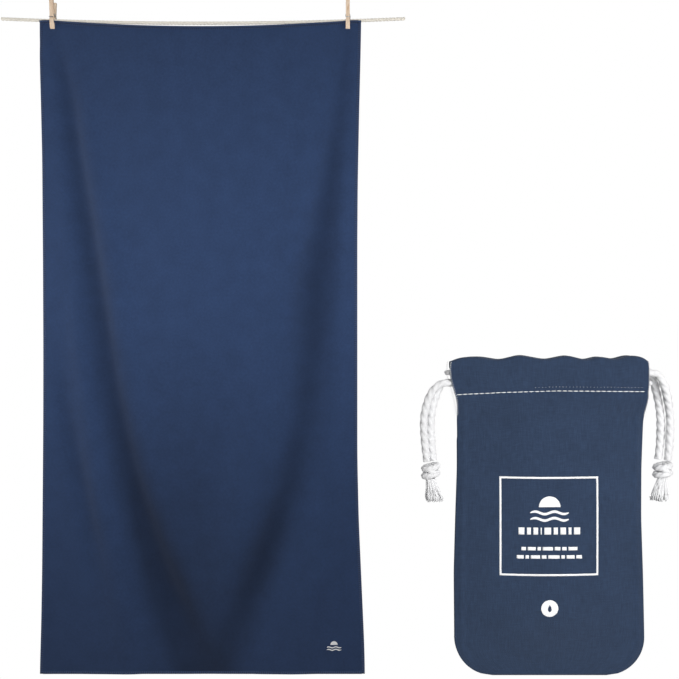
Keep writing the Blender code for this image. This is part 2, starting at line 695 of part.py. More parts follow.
def add_turn(name, side, height, pivot):
    """Where a cord leaves one channel, rounds the far seam and enters the other."""
    angles = np.linspace(-math.pi / 2, math.pi / 2, 9)
    start = RUN_HALF_LENGTH + 2 * GAP
    x = start + 0.8 * RUN_DEPTH * np.cos(angles)
    route = np.stack([side * x, RUN_DEPTH * np.sin(angles), 0 * x + height], 1)
    add_tube(name, POUCH_PLACE + route, RUN_DIAMETER / 2, COTTON, 2, pivot)


def add_drawstring(label, side, pivot, pouch_pivot):
    """One cord: a strand and a run at the front and at the back, a knot and a tassel."""
    name = f"drawstring_{label}"
    height = RUN_HEIGHTS[label]
    for layer, depth in (("front", -RUN_DEPTH), ("back", RUN_DEPTH)):
        route = smooth_route(in_pouch(STRAND_ROUTES[f"{label}_{layer}"]), 8 * MM)
        add_tube(f"{name}_{layer}_strand", route, CORD_DIAMETER / 2, COTTON, 2, pivot)
        ends = np.linspace(-RUN_HALF_LENGTH, RUN_HALF_LENGTH, 8)
        run = np.stack([ends, 0 * ends + depth, 0 * ends + height], 1)
        add_tube(f"{name}_{layer}_run", POUCH_PLACE + run, RUN_DIAMETER / 2, COTTON, 2, pivot)
    add_turn(f"{name}_far_turn", -side, height, pouch_pivot)
    x, z = KNOTS[label]
    add_knot(f"{name}_knot", in_pouch((x, 0, z)), pivot)
    top = in_pouch((x, 0, z - KNOT_HALVES[2] - 0.4))
    add_tassel(f"{name}_tassel", top, TASSEL_LEANS[label], pivot)


def add_pouch():
    """The pouch with its prints, seams and two drawstrings."""
    pouch = add_pivot("pouch_lift_axis", POUCH_PLACE)
    add_panel("pouch_front_panel", -1, pouch)
    add_panel("pouch_back_panel", 1, pouch)
    for label, side in (("front", -1), ("back", 1)):
        add_channel(f"pouch_channel_{label}", side, pouch)
        add_stitch_row(f"pouch_channel_stitch_{label}", side, pouch)
    add_side_seam("pouch_seam_left", -1, pouch)
    add_side_seam("pouch_seam_right", 1, pouch)
    add_bottom_seam("pouch_seam_bottom", pouch)
    add_prints(pouch)
    for label, side in (("left", -1), ("right", 1)):
        pull = add_pivot(f"drawstring_{label}_pull_axis", in_pouch((0, 0, RUN_HEIGHTS[label] / MM)))
        add_drawstring(label, side, pull, pouch)


def main():
    for thing in list(bpy.data.objects):
        bpy.data.objects.remove(thing, do_unlink=True)
    add_line()
    swing = add_pivot("towel_swing_axis", (0, 0, 0))
    add_towel(swing)
    add_pegs(swing)
    add_pouch()


main()
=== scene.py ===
"""A microfibre towel pegged on a twisted cotton line, with its drawstring pouch.

Units are metres, +Z is up and the front faces -Y. Each piece is a surface worked out as
whole arrays and lies where the CAD model's own piece lies.
"""

import bmesh
import bpy
import numpy as np
from bpy.props import FloatProperty, FloatVectorProperty, PointerProperty
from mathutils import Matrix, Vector


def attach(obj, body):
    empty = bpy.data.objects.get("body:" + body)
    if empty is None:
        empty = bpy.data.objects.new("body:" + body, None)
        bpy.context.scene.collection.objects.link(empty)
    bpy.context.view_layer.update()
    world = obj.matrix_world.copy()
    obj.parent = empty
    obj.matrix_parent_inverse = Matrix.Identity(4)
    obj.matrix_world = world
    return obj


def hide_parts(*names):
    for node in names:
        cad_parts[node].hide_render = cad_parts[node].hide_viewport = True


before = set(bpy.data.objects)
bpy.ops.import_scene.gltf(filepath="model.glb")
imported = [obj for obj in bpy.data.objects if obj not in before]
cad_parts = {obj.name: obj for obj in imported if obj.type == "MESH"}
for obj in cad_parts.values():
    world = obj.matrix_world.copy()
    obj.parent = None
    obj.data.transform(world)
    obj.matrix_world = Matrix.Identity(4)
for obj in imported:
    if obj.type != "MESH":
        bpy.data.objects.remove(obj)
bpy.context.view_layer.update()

bl_info = {
    "name": "Pegged towel and pouch",
    "version": (1, 0, 0),
    "blender": (4, 5, 0),
    "location": "View3D > Sidebar > Towel",
    "description": "A towel pegged on a line, with the drawstring pouch that it packs into",
    "category": "Add Mesh",
}

MM = 0.001

# The textures that the materials use, and the scale at which a wave's ridges lie 1 apart.
NOISE = "ShaderNodeTexNoise"
WAVE = "ShaderNodeTexWave"
WAVE_SCALE = 2 * np.pi / 20
# Coordinates that aren't stretched.
EVEN = (1, 1, 1)
CANVAS_THREAD = 0.9 * MM
# How much of its colour the cloth loses at the bottom of the deepest hollow: painted shade. A chosen value.
HOLLOW_PAINTED_SHADE = 0.46

# The line, as in the CAD model: nearly straight, a shallow curve between its cut ends.
LINE_LEFT = -490 * MM
LINE_RIGHT = 499 * MM
LINE_SAG = 11 * MM
LINE_MIDDLE_Z = -6 * MM

# The towel, hung by its top corners.
TOWEL_LEFT = -395.5 * MM
TOWEL_RIGHT = 391 * MM
TOWEL_BOTTOM = -1.601
TOWEL_TOP_SAG = 16 * MM
TOWEL_TOP_HIGHEST = -1.5 * MM
TOWEL_CURL = 3.9 * MM
TOWEL_CURL_HEIGHT = 4.5 * MM
JAW_PLANE_Y = -1.2 * MM
# The cloth cut flat, and the length of binding thread wound round its edge.
TOWEL_WIDTH = 0.8
TOWEL_LENGTH = 1.6
HEM_GIRTH = 14 * MM
HEM_SECTION = (6.2 * MM, 0.75 * MM, 0.7 * MM)
PEG_X = {"left": -363.6 * MM, "right": 358.7 * MM}
LEFT_EDGE = (
    np.array([0, -120, -335, -600, -800, -985, -1335, -1470, -1601]) * MM,
    np.array([-395.5, -395, -390, -388, -387.2, -387.4, -390, -392, -395.5]) * MM,
)
RIGHT_EDGE = (
    np.array([0, -100, -220, -400, -540, -1070, -1225, -1360, -1540, -1601]) * MM,
    np.array([391, 389, 386, 382.5, 381.5, 381.5, 385, 391, 399, 400]) * MM,
)

# The folds that the cloth's weight draws from the two pegs towards the bottom. Each has
# heights, places across, depths into the cloth and half widths, all in millimetres.
TOWEL_FOLDS = {
    "left_hollow": (
        (-20, -167, -388, -572, -719, -915, -1087, -1258, -1430, -1601),
        (-357, -330, -300, -272, -250, -222, -185, -142, -87, -10),
        (1.5, 5, 7, 8, 8.5, 9, 10, 12, 13, 11),
        (14, 24, 30, 33, 35, 37, 40, 46, 54, 60),
    ),
    "left_second_hollow": (
        (-780, -964, -1087, -1258, -1400),
        (-352, -332, -308, -271, -240),
        (0, 3, 4, 3, 0),
        (20, 22, 24, 26, 28),
    ),
    "right_hollow": (
        (-20, -229, -388, -510, -645, -915, -1062, -1185, -1320, -1454, -1601),
        (357, 334, 316, 297, 275, 262, 238, 201, 152, 103, 40),
        (1.5, 5, 7, 8, 10, 8, 8, 10, 13, 11, 8),
        (14, 25, 32, 40, 52, 40, 38, 40, 44, 48, 52),
    ),
    "bottom_hollow": (
        (-760, -930, -1100, -1250, -1400, -1520, -1601),
        (-40, -45, -50, -50, -45, -35, -25),
        (0, 2.5, 5, 7, 7.5, 6, 4),
        (150, 150, 140, 125, 110, 105, 100),
    ),
    "left_ridge": (
        (-150, -265, -572, -841, -1100, -1350, -1500),
        (-290, -283, -226, -190, -140, -60, 0),
        (0, -3, -5, -5, -5, -4, 0),
        (22, 26, 32, 36, 40, 46, 50),
    ),
    "right_ridge": (
        (-120, -412, -607, -817, -1000, -1250, -1450),
        (280, 248, 205, 158, 130, 70, 20),
        (0, -4, -6, -5, -4, -4, 0),
        (24, 30, 38, 40, 42, 46, 50),
    ),
    "left_outer_ridge": (
        (-640, -780, -1025, -1209, -1380, -1601),
        (-318, -303, -265, -240, -205, -170),
        (0, -4, -5, -5, -4, -3),
        (20, 22, 26, 30, 34, 40),
    ),
    "right_outer_ridge": (
        (-250, -450, -600, -850, -1150, -1380, -1601),
        (345, 338, 335, 330, 322, 280, 230),
        (0, -4, -4, -5, -6, -4, -3),
        (18, 24, 26, 30, 34, 40, 46),
    ),
}

# Depth at which a hollow counts as full, where the painted shade is darkest.
DEEPEST_HOLLOW = 13 * MM
# The middle of the embroidery, and how it and the care label stand off the cloth.
EMBLEM_PLACE = (325 * MM, -1532 * MM)
STITCHED = (0.75 * MM, 0.45 * MM)
LABEL = (-0.75 * MM, 0.35 * MM)

# The pegs' spring, about the plane between the jaws.
COIL_Z = 13 * MM
COIL_RADIUS = 2.75 * MM
COIL_TURNS = 6
WIRE_DEPTH = 9.3 * MM
WIRE_CROSSING_Z = 5 * MM
ARM_X = 5.8 * MM

# The pouch, measured from the middle of its base.
POUCH_PLACE = np.array([523.4, -1020.8, -1077.4]) * MM
POUCH_CORNER = 34 * MM
POUCH_LEFT_EDGE = (
    np.array([0, 34, 90, 138, 182, 222, 238, 249.5, 256, 264, 272, 282]) * MM,
    np.array([-83.4, -83.0, -83.4, -82.1, -80.6, -80.9, -81.6, -84.2, -87.0, -88.7, -88.6, -87.0]) * MM,
)
POUCH_RIGHT_EDGE = (
    np.array([0, 34, 90, 138, 182, 219, 240, 250, 264, 273, 282]) * MM,
    np.array([85.4, 85.0, 83.8, 82.2, 82.4, 83.8, 85.0, 85.6, 86.0, 85.8, 84.2]) * MM,
)
# The gathered top edge: places across and heights.
POUCH_TOP_EDGE = (
    np.array([-88, -85, -76, -63.8, -47, -28.1, -4.7, 15, 31, 43.8, 57.1, 71.2, 82, 86, 89]) * MM,
    np.array(
        [275.5, 278.3, 280.2, 280.3, 277.6, 282, 277.9, 281.7]
        + [277.6, 280.7, 278.1, 281.7, 280.3, 277, 273]
    ) * MM,
)
POUCH_BELLY = 8 * MM
POUCH_BOTTOM = -1.5 * MM
# How far the back panel's left edge is drawn in behind the front one's at the header.
BACK_TUCK = 6 * MM
# How far the channel's inner wall stays inside the outer one's side edges.
WALL_INSET = 1.6 * MM
HEADER_DEPTH = 8.8 * MM
MOUTH_DEPTH = 2.9 * MM
RUN_DEPTH = 5.8 * MM
RUN_HALF_LENGTH = 84.5 * MM
RUN_DIAMETER = 4.4 * MM
CORD_HOLLOWS = 0.5  # how deep the hollows between a drawstring's soft strands are
RUN_HEIGHTS = {"left": 257.5, "right": 266.5}
KNOTS = {"left": (-104.0, 179.4), "right": (101.9, 180.3)}
KNOT_HALF_HEIGHT = 7.6
KNOT_THICKNESS = 6.2 * MM
KNOT_LAY = 13 * MM
# An overhand knot's wraps: how each leans, its height, and its half width and half depth.
KNOT_WRAPS = ((0.36, 3.3, 6.1, 4.9), (0.36, -3.1, 6.2, 4.9), (-0.75, 0.2, 5.6, 5.3))
TASSEL_LENGTH = 21
# A cord is cut here, inside the channel, into its hidden run and its strand.
CORD_SPLIT = 150 * MM
TASSEL_LEANS = {"left": 3.5, "right": -3.5}
# The line of top stitches: places across and heights.
STITCH_LINE = (np.array([-84, -40, 5, 87]) * MM, np.array([247.6, 249.6, 250.9, 250.3]) * MM)
STITCH_GAP = 0.45 * MM
STITCH_THICKNESS = 0.8 * MM
# The faint second row above it: stitch, gap and thickness, and how far above.
FAINT_ROW = (0.8 * MM, 2.2 * MM, 0.26 * MM)
FAINT_RISE = 3.6 * MM

# The routes of the strands outside the pouch, as in the CAD model: across, depth and
# height in the pouch's own millimetres.
STRAND_ROUTES = {
    "left_front": (
        (-89, -5.2, 257.5), (-96, -5.2, 256.8), (-103.5, -4.4, 249.5),
        (-108.6, -3.2, 236), (-110.6, -2.8, 222), (-109.4, -2.8, 204), (-107.8, -2.8, 188.2),
    ),
    "left_back": (
        (-89, 5.2, 257.5), (-94.5, 5.0, 254.8), (-99, 4.2, 245),
        (-102.2, 3.2, 233), (-103.3, 2.8, 219), (-102.7, 2.8, 203), (-101.2, 2.8, 188.2),
    ),
    "right_front": (
        (91, -5.2, 266.5), (96.5, -6.0, 263), (101.2, -5.6, 253),
        (104.9, -3.8, 240), (106.9, -2.9, 226), (106.5, -2.8, 207), (104.9, -2.8, 189.2),
    ),
    "right_back": (
        (91, 5.2, 266.5), (95.5, 6.2, 262.5), (98.4, 6.0, 252),
        (100.2, 4.2, 240), (101.5, 2.9, 224), (101.1, 2.8, 206), (99.2, 2.8, 189.2),
    ),
}

# The printing on the pouch.
PRINT_MIDDLE_X = -1.5 * MM
FRAME_HALF = 43.3 * MM
FRAME_MIDDLE_Z = 132.6 * MM
FRAME_LINE = 1.7 * MM
DISC_Z = 61 * MM
DISC_RADIUS = 7.5 * MM
# How far the ink stands off the canvas, and its thickness; then the mark over the disc.
INK = (0.15 * MM, 0.18 * MM)
OVER_INK = (0.42 * MM, 0.12 * MM)
# Rows of plain blocks: half length, lowest and highest edge, the blocks' widths and the gap.
PRINTED_ROWS = {
    "bold": (27, 125.4, 131.6, (5.2, 3.4, 4.2, 1, 6, 3.8, 5, 2.6, 5.6), 2.2),
    "upper": (24.5, 111.6, 114.6, (4, 7, 3, 9, 5, 4, 8), 1.5),
    "lower": (28.5, 104.4, 107.4, (6, 3, 8, 4, 10, 3, 7, 5), 1.5),
}

# The camera's distance from the line, and the width that it sees there.
CAMERA_DISTANCE = 1.6
VIEW_WIDTH = 1.665
# Where the pouch's lights look.
POUCH_AIM = (0.523, -1.02, -0.93)
# The soft boxes: name, place, the point that each faces, its side, and its power's setting.
SOFT_BOXES = (
    ("left_soft_box", (-1.25, -0.36, -0.5), (0.0, 0.0, -0.6), 0.6, "side_power"),
    ("right_soft_box", (1.25, -0.36, -0.5), (0.0, 0.0, -0.6), 0.6, "side_power"),
    ("towel_soft_box", (-0.03, -1.0, -0.62), (-0.02, 0.0, -0.64), 0.6, "towel_power"),
    ("pouch_soft_box", (0.69, -1.85, -0.78), POUCH_AIM, 0.6, "pouch_power"),
    ("back_soft_box", (-0.5, 1.9, 0.1), (0.1, 0.0, -0.7), 0.9, "back_power"),
    ("pouch_back_box", (0.78, -0.4, -0.7), POUCH_AIM, 0.35, "pouch_back_power"),
    ("overhead_soft_box", (0.1, -0.7, 1.5), (0.1, -0.5, -1.0), 1.5, "top_power"),
)


# ---------------------------------------------------------------- colours and nodes


def linear(code):
    """A colour's linear red, green, blue and alpha, from its sRGB hex value."""
    channels = np.array([int(code[k : k + 2], 16) for k in (1, 3, 5)]) / 255
    low = channels / 12.92
    high = ((channels + 0.055) / 1.055) ** 2.4
    return (*np.where(channels <= 0.04045, low, high), 1.0)


def shaded(colour, factor):
    """A linear colour made lighter or darker."""
    return (*(min(1.0, c * factor) for c in colour[:3]), 1.0)


def add_node(tree, kind, inputs=None, **settings):
    """Adds a node, sets its own settings, then each input to a value or to another's output."""
    node = tree.nodes.new(kind)
    for key, value in settings.items():
        setattr(node, key, value)
    for key, value in (inputs or {}).items():
        if isinstance(value, bpy.types.NodeSocket):
            tree.links.new(value, node.inputs[key])
        else:
            node.inputs[key].default_value = value
    return node


def placed(tree, kind, space, stretch, settings=None, **inputs):
    """The outputs of a node of any kind, placed by UV or Object coordinates that are
    stretched along each axis."""
    place = add_node(tree, "ShaderNodeTexCoord").outputs[space]
    mapping = add_node(tree, "ShaderNodeMapping", {"Vector": place, "Scale": stretch})
    inputs["Vector"] = mapping.outputs["Vector"]
    return add_node(tree, kind, inputs, **(settings or {})).outputs


def weighted(tree, *parts):
    """The sum of values, each multiplied by its weight."""
    total = 0.0
    for weight, value in parts:
        terms = {0: value, 1: weight, 2: total}
        total = add_node(tree, "ShaderNodeMath", terms, operation="MULTIPLY_ADD").outputs["Value"]
    return total


def start_material(name, **shader_inputs):
    """A new material with only its shader, whose constant values are set on its sockets."""
    material = bpy.data.materials.new(name)
    material.use_nodes = True
    shader = material.node_tree.nodes["Principled BSDF"]
    for key, value in shader_inputs.items():
        shader.inputs[key.replace("_", " ").title().replace("Ior", "IOR")].default_value = value
    return material, material.node_tree, shader


def finish_material(tree, shader, pattern, colour, stops, relief, height=None, roughness=None, dim=None):
    """Colours a material by a pattern, and bumps it by a height, or by the pattern itself.

    A stop is the pattern's value and a share of the colour, or a colour of its own. Relief
    is the bump's real distance and strength. Roughness is its value where the pattern is
    low and where it is high. Dim is a value that multiplies the colour."""
    ramp = add_node(tree, "ShaderNodeValToRGB", {"Fac": pattern})
    elements = ramp.color_ramp.elements
    while len(elements) < len(stops):
        elements.new(1.0)
    for element, (position, tone) in zip(elements, stops):
        element.position = position
        element.color = shaded(colour, tone) if isinstance(tone, (int, float)) else tone
    tint = ramp.outputs["Color"]
    if dim is not None:
        scaled = add_node(tree, "ShaderNodeVectorMath", {0: tint, "Scale": dim}, operation="SCALE")
        tint = scaled.outputs["Vector"]
    tree.links.new(tint, shader.inputs["Base Color"])
    if roughness:
        ends = {"From Min": 0.3, "From Max": 0.7, "To Min": roughness[0], "To Max": roughness[1]}
        spread = add_node(tree, "ShaderNodeMapRange", {"Value": pattern, **ends})
        tree.links.new(spread.outputs["Result"], shader.inputs["Roughness"])
    distance, strength = relief
    inputs = {"Height": pattern if height is None else height, "Distance": distance, "Strength": strength}
    bump = add_node(tree, "ShaderNodeBump", inputs)
    tree.links.new(bump.outputs["Normal"], shader.inputs["Normal"])


# ---------------------------------------------------------------- materials


def microfibre_suede(colour):
    """Brushed microfibre: the nap lies in soft patches, so the blue mottles gently, and
    its fine fibres catch light at grazing angles instead of shining. In the hollows of the
    folds the colour is darker: painted shade, by a chosen share, which stays in place
    whatever the light."""
    material, tree, shader = start_material(
        "microfibre_suede", roughness=0.92, sheen_weight=0.18, sheen_roughness=0.45,
        specular_ior_level=0.2,
    )
    nap = placed(
        tree, NOISE, "Object", EVEN, Scale=1 / 0.0055, Detail=4.0, Roughness=0.62
    )["Fac"]
    patches = placed(tree, NOISE, "Object", EVEN, Scale=1 / 0.045)["Fac"]
    fibres = placed(
        tree, NOISE, "Object", (1, 1, 0.55), Scale=1 / 0.0016, Detail=3.0, Roughness=0.6
    )["Fac"]
    # Painted shade: the colour darkens in the fold hollows, by the share that the "nap" UV map holds.
    painted_shade_uv = add_node(tree, "ShaderNodeUVMap", uv_map="nap").outputs["UV"]
    hollow = add_node(tree, "ShaderNodeSeparateXYZ", {"Vector": painted_shade_uv}).outputs["X"]
    painted_shade_terms = {0: hollow, 1: -HOLLOW_PAINTED_SHADE, 2: 1.0}
    painted_shade_factor = add_node(tree, "ShaderNodeMath", painted_shade_terms, operation="MULTIPLY_ADD").outputs["Value"]
    finish_material(
        tree, shader, weighted(tree, (0.62, nap), (0.38, patches)), colour,
        ((0.3, 0.84), (0.5, 1), (0.7, 1.17)), (0.0004, 0.35), height=fibres, dim=painted_shade_factor,
    )
    return material


def overlock_thread(name, colour, spacing):
    """Looped polyester thread over a raw edge: slanted ridges a stitch apart, a little
    glossier than the cloth that they bind."""
    material, tree, shader = start_material(
        name, roughness=0.7, sheen_weight=0.1, specular_ior_level=0.3
    )
    loops = placed(
        tree, WAVE, "UV", (0.35, 1, 1), {"bands_direction": "DIAGONAL"},
        Scale=WAVE_SCALE / spacing, Distortion=0.6, Detail=1.0,
    )["Fac"]
    stops = ((0.0, 0.55), (0.6, 1), (1.0, 1.35))
    finish_material(tree, shader, loops, colour, stops, (0.0005, 0.7))
    return material


def cotton_canvas(colour):
    """Plain-woven cotton canvas of heathered yarn: each thread's blue varies along it, with
    pale slubs, and the weave's crossings give a fine even grain."""
    material, tree, shader = start_material(
        "cotton_canvas", roughness=0.88, sheen_weight=0.12, sheen_roughness=0.5,
        specular_ior_level=0.25,
    )
    upright = placed(
        tree, NOISE, "UV", (1 / 0.0011, 1 / 0.011, 1), Scale=1.0, Detail=3.0, Roughness=0.6
    )["Fac"]
    level = placed(
        tree, NOISE, "UV", (1 / 0.010, 1 / 0.0011, 1), Scale=1.0, Detail=3.0, Roughness=0.6
    )["Fac"]
    heather = weighted(tree, (0.56, upright), (0.44, level))
    clouds = placed(tree, NOISE, "UV", EVEN, Scale=1 / 0.03)["Fac"]
    turns = 2 * np.pi / CANVAS_THREAD
    turned = placed(tree, "ShaderNodeSeparateXYZ", "UV", (turns, turns, 1))
    across, up = (
        add_node(tree, "ShaderNodeMath", {0: turned[axis]}, operation="SINE").outputs["Value"]
        for axis in "XY"
    )
    weave = add_node(tree, "ShaderNodeMath", {0: across, 1: up}, operation="MULTIPLY").outputs["Value"]
    finish_material(
        tree, shader, weighted(tree, (0.8, heather), (0.2, clouds)), colour,
        ((0.36, 0.8), (0.5, 1), (0.62, 1.2), (0.72, 1.5)), (0.00035, 0.55),
        height=weighted(tree, (0.35, weave), (1.0, heather)),
    )
    return material


def spun_cotton(name, colour, yarn):
    """Soft spun cotton yarns laid into a cord: fine slanting fibres, quite matt, and a
    little greyer between the yarns."""
    material, tree, shader = start_material(
        name, roughness=0.95, sheen_weight=0.25, sheen_roughness=0.6, specular_ior_level=0.15
    )
    threads = placed(
        tree, NOISE, "UV", (1 / yarn, 0.28 / yarn, 1), Scale=1.0, Detail=3.0, Roughness=0.6
    )["Fac"]
    fluff = placed(
        tree, NOISE, "Object", EVEN, Scale=1 / 0.004, Detail=3.0, Roughness=0.6
    )["Fac"]
    both = weighted(tree, (0.6, threads), (0.4, fluff))
    finish_material(tree, shader, both, colour, ((0.28, 0.8), (0.5, 1), (0.7, 1.06)), (0.0006, 0.6))
    return material


def sewing_thread(colour):
    """Spun polyester sewing thread: white with a soft gloss and a fine two-ply twist."""
    material, tree, shader = start_material("sewing_thread", roughness=0.6, sheen_weight=0.1)
    ply = placed(tree, NOISE, "UV", (1 / 0.0004, 1 / 0.0012, 1), Scale=1.0)["Fac"]
    finish_material(tree, shader, ply, colour, ((0.3, 0.82), (0.6, 1)), (0.0001, 0.5))
    return material


def satin_embroidery(colour):
    """Satin stitch in rayon thread: close parallel threads, which give a silky streak
    along them and a ribbed edge."""
    material, tree, shader = start_material(
        "satin_embroidery", roughness=0.5, sheen_weight=0.15, anisotropic=0.3
    )
    threads = placed(
        tree, WAVE, "UV", (1, 0.12, 1), {"bands_direction": "X"},
        Scale=WAVE_SCALE / 0.0009, Distortion=0.4,
    )["Fac"]
    stops = ((0.0, 0.72), (0.55, 1), (1.0, 1.05))
    finish_material(tree, shader, threads, colour, stops, (0.0003, 0.6))
    return material


def sanded_pine(name, colour, vein):
    """Sanded, unfinished pine: pale wood with slightly darker growth lines along the leg
    and fine pores, matt with a faint polish where it is handled."""
    material, tree, shader = start_material(name, specular_ior_level=0.35)
    rings = placed(
        tree, NOISE, "Object", (1 / 0.0021, 1 / 0.0021, 1 / 0.05),
        Scale=1.0, Detail=3.0, Roughness=0.55,
    )["Fac"]
    pores = placed(tree, NOISE, "Object", (1 / 0.0005, 1 / 0.0005, 1 / 0.006), Scale=1.0)["Fac"]
    finish_material(
        tree, shader, weighted(tree, (0.75, rings), (0.25, pores)), colour,
        ((0.34, vein), (0.46, 0.93), (0.56, 1), (0.7, 1.06)), (0.0002, 0.4), roughness=(0.72, 0.52),
    )
    return material


def drawn_steel(colour):
    """Hard-drawn galvanised wire: a bright grey metal with faint drawing lines along it
    and duller patches."""
    material, tree, shader = start_material("drawn_steel", metallic=1.0)
    lines = placed(tree, NOISE, "UV", (1 / 0.0003, 1 / 0.01, 1), Scale=1.0)["Fac"]
    dull = placed(tree, NOISE, "Object", EVEN, Scale=1 / 0.004)["Fac"]
    finish_material(
        tree, shader, dull, colour, ((0.35, 0.82), (0.65, 1)), (0.00005, 0.4),
        height=lines, roughness=(0.22, 0.42),
    )
    return material


def screen_ink(name, colour, cloth):
    """Screen-printed textile ink: a thin matt film that sits on the threads and breaks up
    a little over the hollows of the weave."""
    material, tree, shader = start_material(name, roughness=0.8, specular_ior_level=0.25)
    fine = placed(
        tree, NOISE, "UV", (1 / 0.0009, 1 / 0.0009, 1), Scale=1.0, Detail=3.0, Roughness=0.65
    )["Fac"]
    worn = placed(tree, NOISE, "UV", EVEN, Scale=1 / 0.006)["Fac"]
    gap = tuple(0.55 * a + 0.45 * b for a, b in zip(cloth, colour))
    both = weighted(tree, (0.6, fine), (0.4, worn))
    finish_material(tree, shader, both, colour, ((0.3, gap), (0.4, 0.93), (0.6, 1)), (0.0001, 0.4))
    return material


def satin_label(colour):
    """Woven polyester satin ribbon: off-white, close ribs across it and a soft lustre."""
    material, tree, shader = start_material("satin_label", roughness=0.45, sheen_weight=0.2)
    ribs = placed(
        tree, WAVE, "UV", (0.1, 1, 1), {"bands_direction": "Y"},
        Scale=WAVE_SCALE / 0.0008, Distortion=0.2,
    )["Fac"]
    finish_material(tree, shader, ribs, colour, ((0.0, 0.86), (0.6, 1)), (0.0001, 0.5))
    return material


def studio_paper(colour):
    """Matt white background paper: an even soft white with a barely visible tooth. It glows
    a little, so that the soft boxes' shadows don't grey it."""
    material, tree, shader = start_material("studio_paper", roughness=0.95, specular_ior_level=0.1)
    tooth = placed(tree, NOISE, "Object", EVEN, Scale=1 / 0.004)["Fac"]
    finish_material(tree, shader, tooth, colour, ((0.3, 0.985), (0.7, 1)), (0.0002, 0.15))
    shader.inputs["Emission Color"].default_value = colour
    shader.inputs["Emission Strength"].default_value = 0.8
    return material


# ---------------------------------------------------------------- surfaces


def ease(t):
    """0 to 1 with level ends: three squares less two cubes of the share."""
    t = np.clip(t, 0, 1)
    return t * t * (3 - 2 * t)


def along(at, places, values):
    """Values between given places, joined by straight lines and then rounded off: the
    joined line is averaged with its neighbours over a tenth of its length."""
    order = np.argsort(places)
    low, high = places[order[0]], places[order[-1]]
    margin = 0.06 * (high - low)
    dense = np.linspace(low - margin, high + margin, 561)
    joined = np.interp(dense, places[order], values[order])
    weights = np.hanning(47)
    padded = np.pad(joined, 23, mode="edge")
    return np.interp(at, dense, np.convolve(padded, weights / weights.sum(), mode="valid"))


def curve_through(points, spacing):
    """Points a spacing apart along the curve that passes through the given ones. Between
    two of them it is the cubic whose slope at each is half the step between its two
    neighbours."""
    p = np.asarray(points, float)
    p = np.concatenate([[2 * p[0] - p[1]], p, [2 * p[-1] - p[-2]]])
    a, b, c, d = (p[k : len(p) - 3 + k, None] for k in range(4))
    t = np.linspace(0, 1, 24, endpoint=False)[None, :, None]
    bend = 2 * a - 5 * b + 4 * c - d
    twist = 3 * b - a - 3 * c + d
    dense = 0.5 * (2 * b + (c - a) * t + bend * t**2 + twist * t**3)
    dense = np.concatenate([dense.reshape(-1, 3), p[-2:-1]])
    run = path_length(dense)
    at = np.linspace(0, run[-1], max(4, round(run[-1] / spacing) + 1))
    return np.stack([np.interp(at, run, dense[:, k]) for k in range(3)], axis=1)


def path_length(route):
    """Length from a route's start to each of its points."""
    return np.r_[0, np.cumsum(np.linalg.norm(np.diff(route, axis=0), axis=1))]


def grid_faces(rows, columns, closed=False):
    """Each face's four corners as point indices, and as rows and columns that keep
    counting past a closed seam, so that a pattern doesn't fold back there."""
    across = columns if closed else columns - 1
    i, j = np.meshgrid(np.arange(rows - 1), np.arange(across), indexing="ij")
    steps = np.stack([np.stack([i, i, i + 1, i + 1], -1), np.stack([j, j + 1, j + 1, j], -1)], -1)
    steps = steps.reshape(-1, 4, 2)
    return steps[..., 0] * columns + steps[..., 1] % columns, steps


def joined(shapes):
    """Several shapes as one: their points in a row, and their faces counted on. A shape is
    its points, and two lists of arrays: faces, and each corner's UV place."""
    points, faces, uvs, count = [], [], [], 0
    for shape_points, shape_faces, shape_uvs in shapes:
        points.append(shape_points)
        faces += [f + count for f in shape_faces]
        uvs += shape_uvs
        count += len(shape_points)
    return np.concatenate(points), faces, uvs


def sweep_shape(sections, run, girth, ring=False):
    """A closed solid through sections, an array of rows, points round and coordinates.
    It is closed by a fan at each end, or on to its first section if it is a ring."""
    rows, around = sections.shape[:2]
    if ring:
        run = np.r_[run, run[-1] + run[1] - run[0]]
    quads, steps = grid_faces(rows + ring, around, closed=True)
    uv = np.stack([girth * steps[..., 1] / around, run[steps[..., 0]]], -1)
    if ring:
        return sections.reshape(-1, 3), [quads % (rows * around)], [uv]
    ends = sections[[0, -1]].mean(axis=1)
    here = np.arange(around)
    after = (here + 1) % around
    last = (rows - 1) * around
    middle = np.full(around, rows * around)
    fans = np.concatenate(
        [np.stack([middle, after, here], 1), np.stack([middle + 1, last + here, last + after], 1)]
    )
    fan_uv = np.stack([girth * np.stack([0.5 + 0 * here, after / around, here / around], -1)] * 2, -1)
    points = np.concatenate([sections.reshape(-1, 3), ends])
    return points, [quads, fans], [uv, np.concatenate([fan_uv, fan_uv])]


def tube_rings(route, radii, reference=None, closed=False):
    """Rings round a route. Each point stands off the route by its radius, at an angle from
    the direction square to both the route and the reference; without a reference, from the
    direction in which the route bends."""
    if closed:
        ahead = np.roll(route, -1, axis=0) - np.roll(route, 1, axis=0)
    else:
        ahead = np.gradient(route, axis=0)
    ahead = ahead / np.linalg.norm(ahead, axis=1, keepdims=True)
    if reference is None:
        bend = np.roll(ahead, -1, axis=0) - np.roll(ahead, 1, axis=0)
        side = bend - (bend * ahead).sum(1, keepdims=True) * ahead
    else:
        side = np.cross(ahead, np.asarray(reference, float))
    side = side / np.linalg.norm(side, axis=1, keepdims=True)
    up = np.cross(side, ahead)
    angle = 2 * np.pi * np.arange(radii.shape[1]) / radii.shape[1]
    out = np.cos(angle)[None, :, None] * side[:, None] + np.sin(angle)[None, :, None] * up[:, None]
    return route[:, None] + radii[..., None] * out


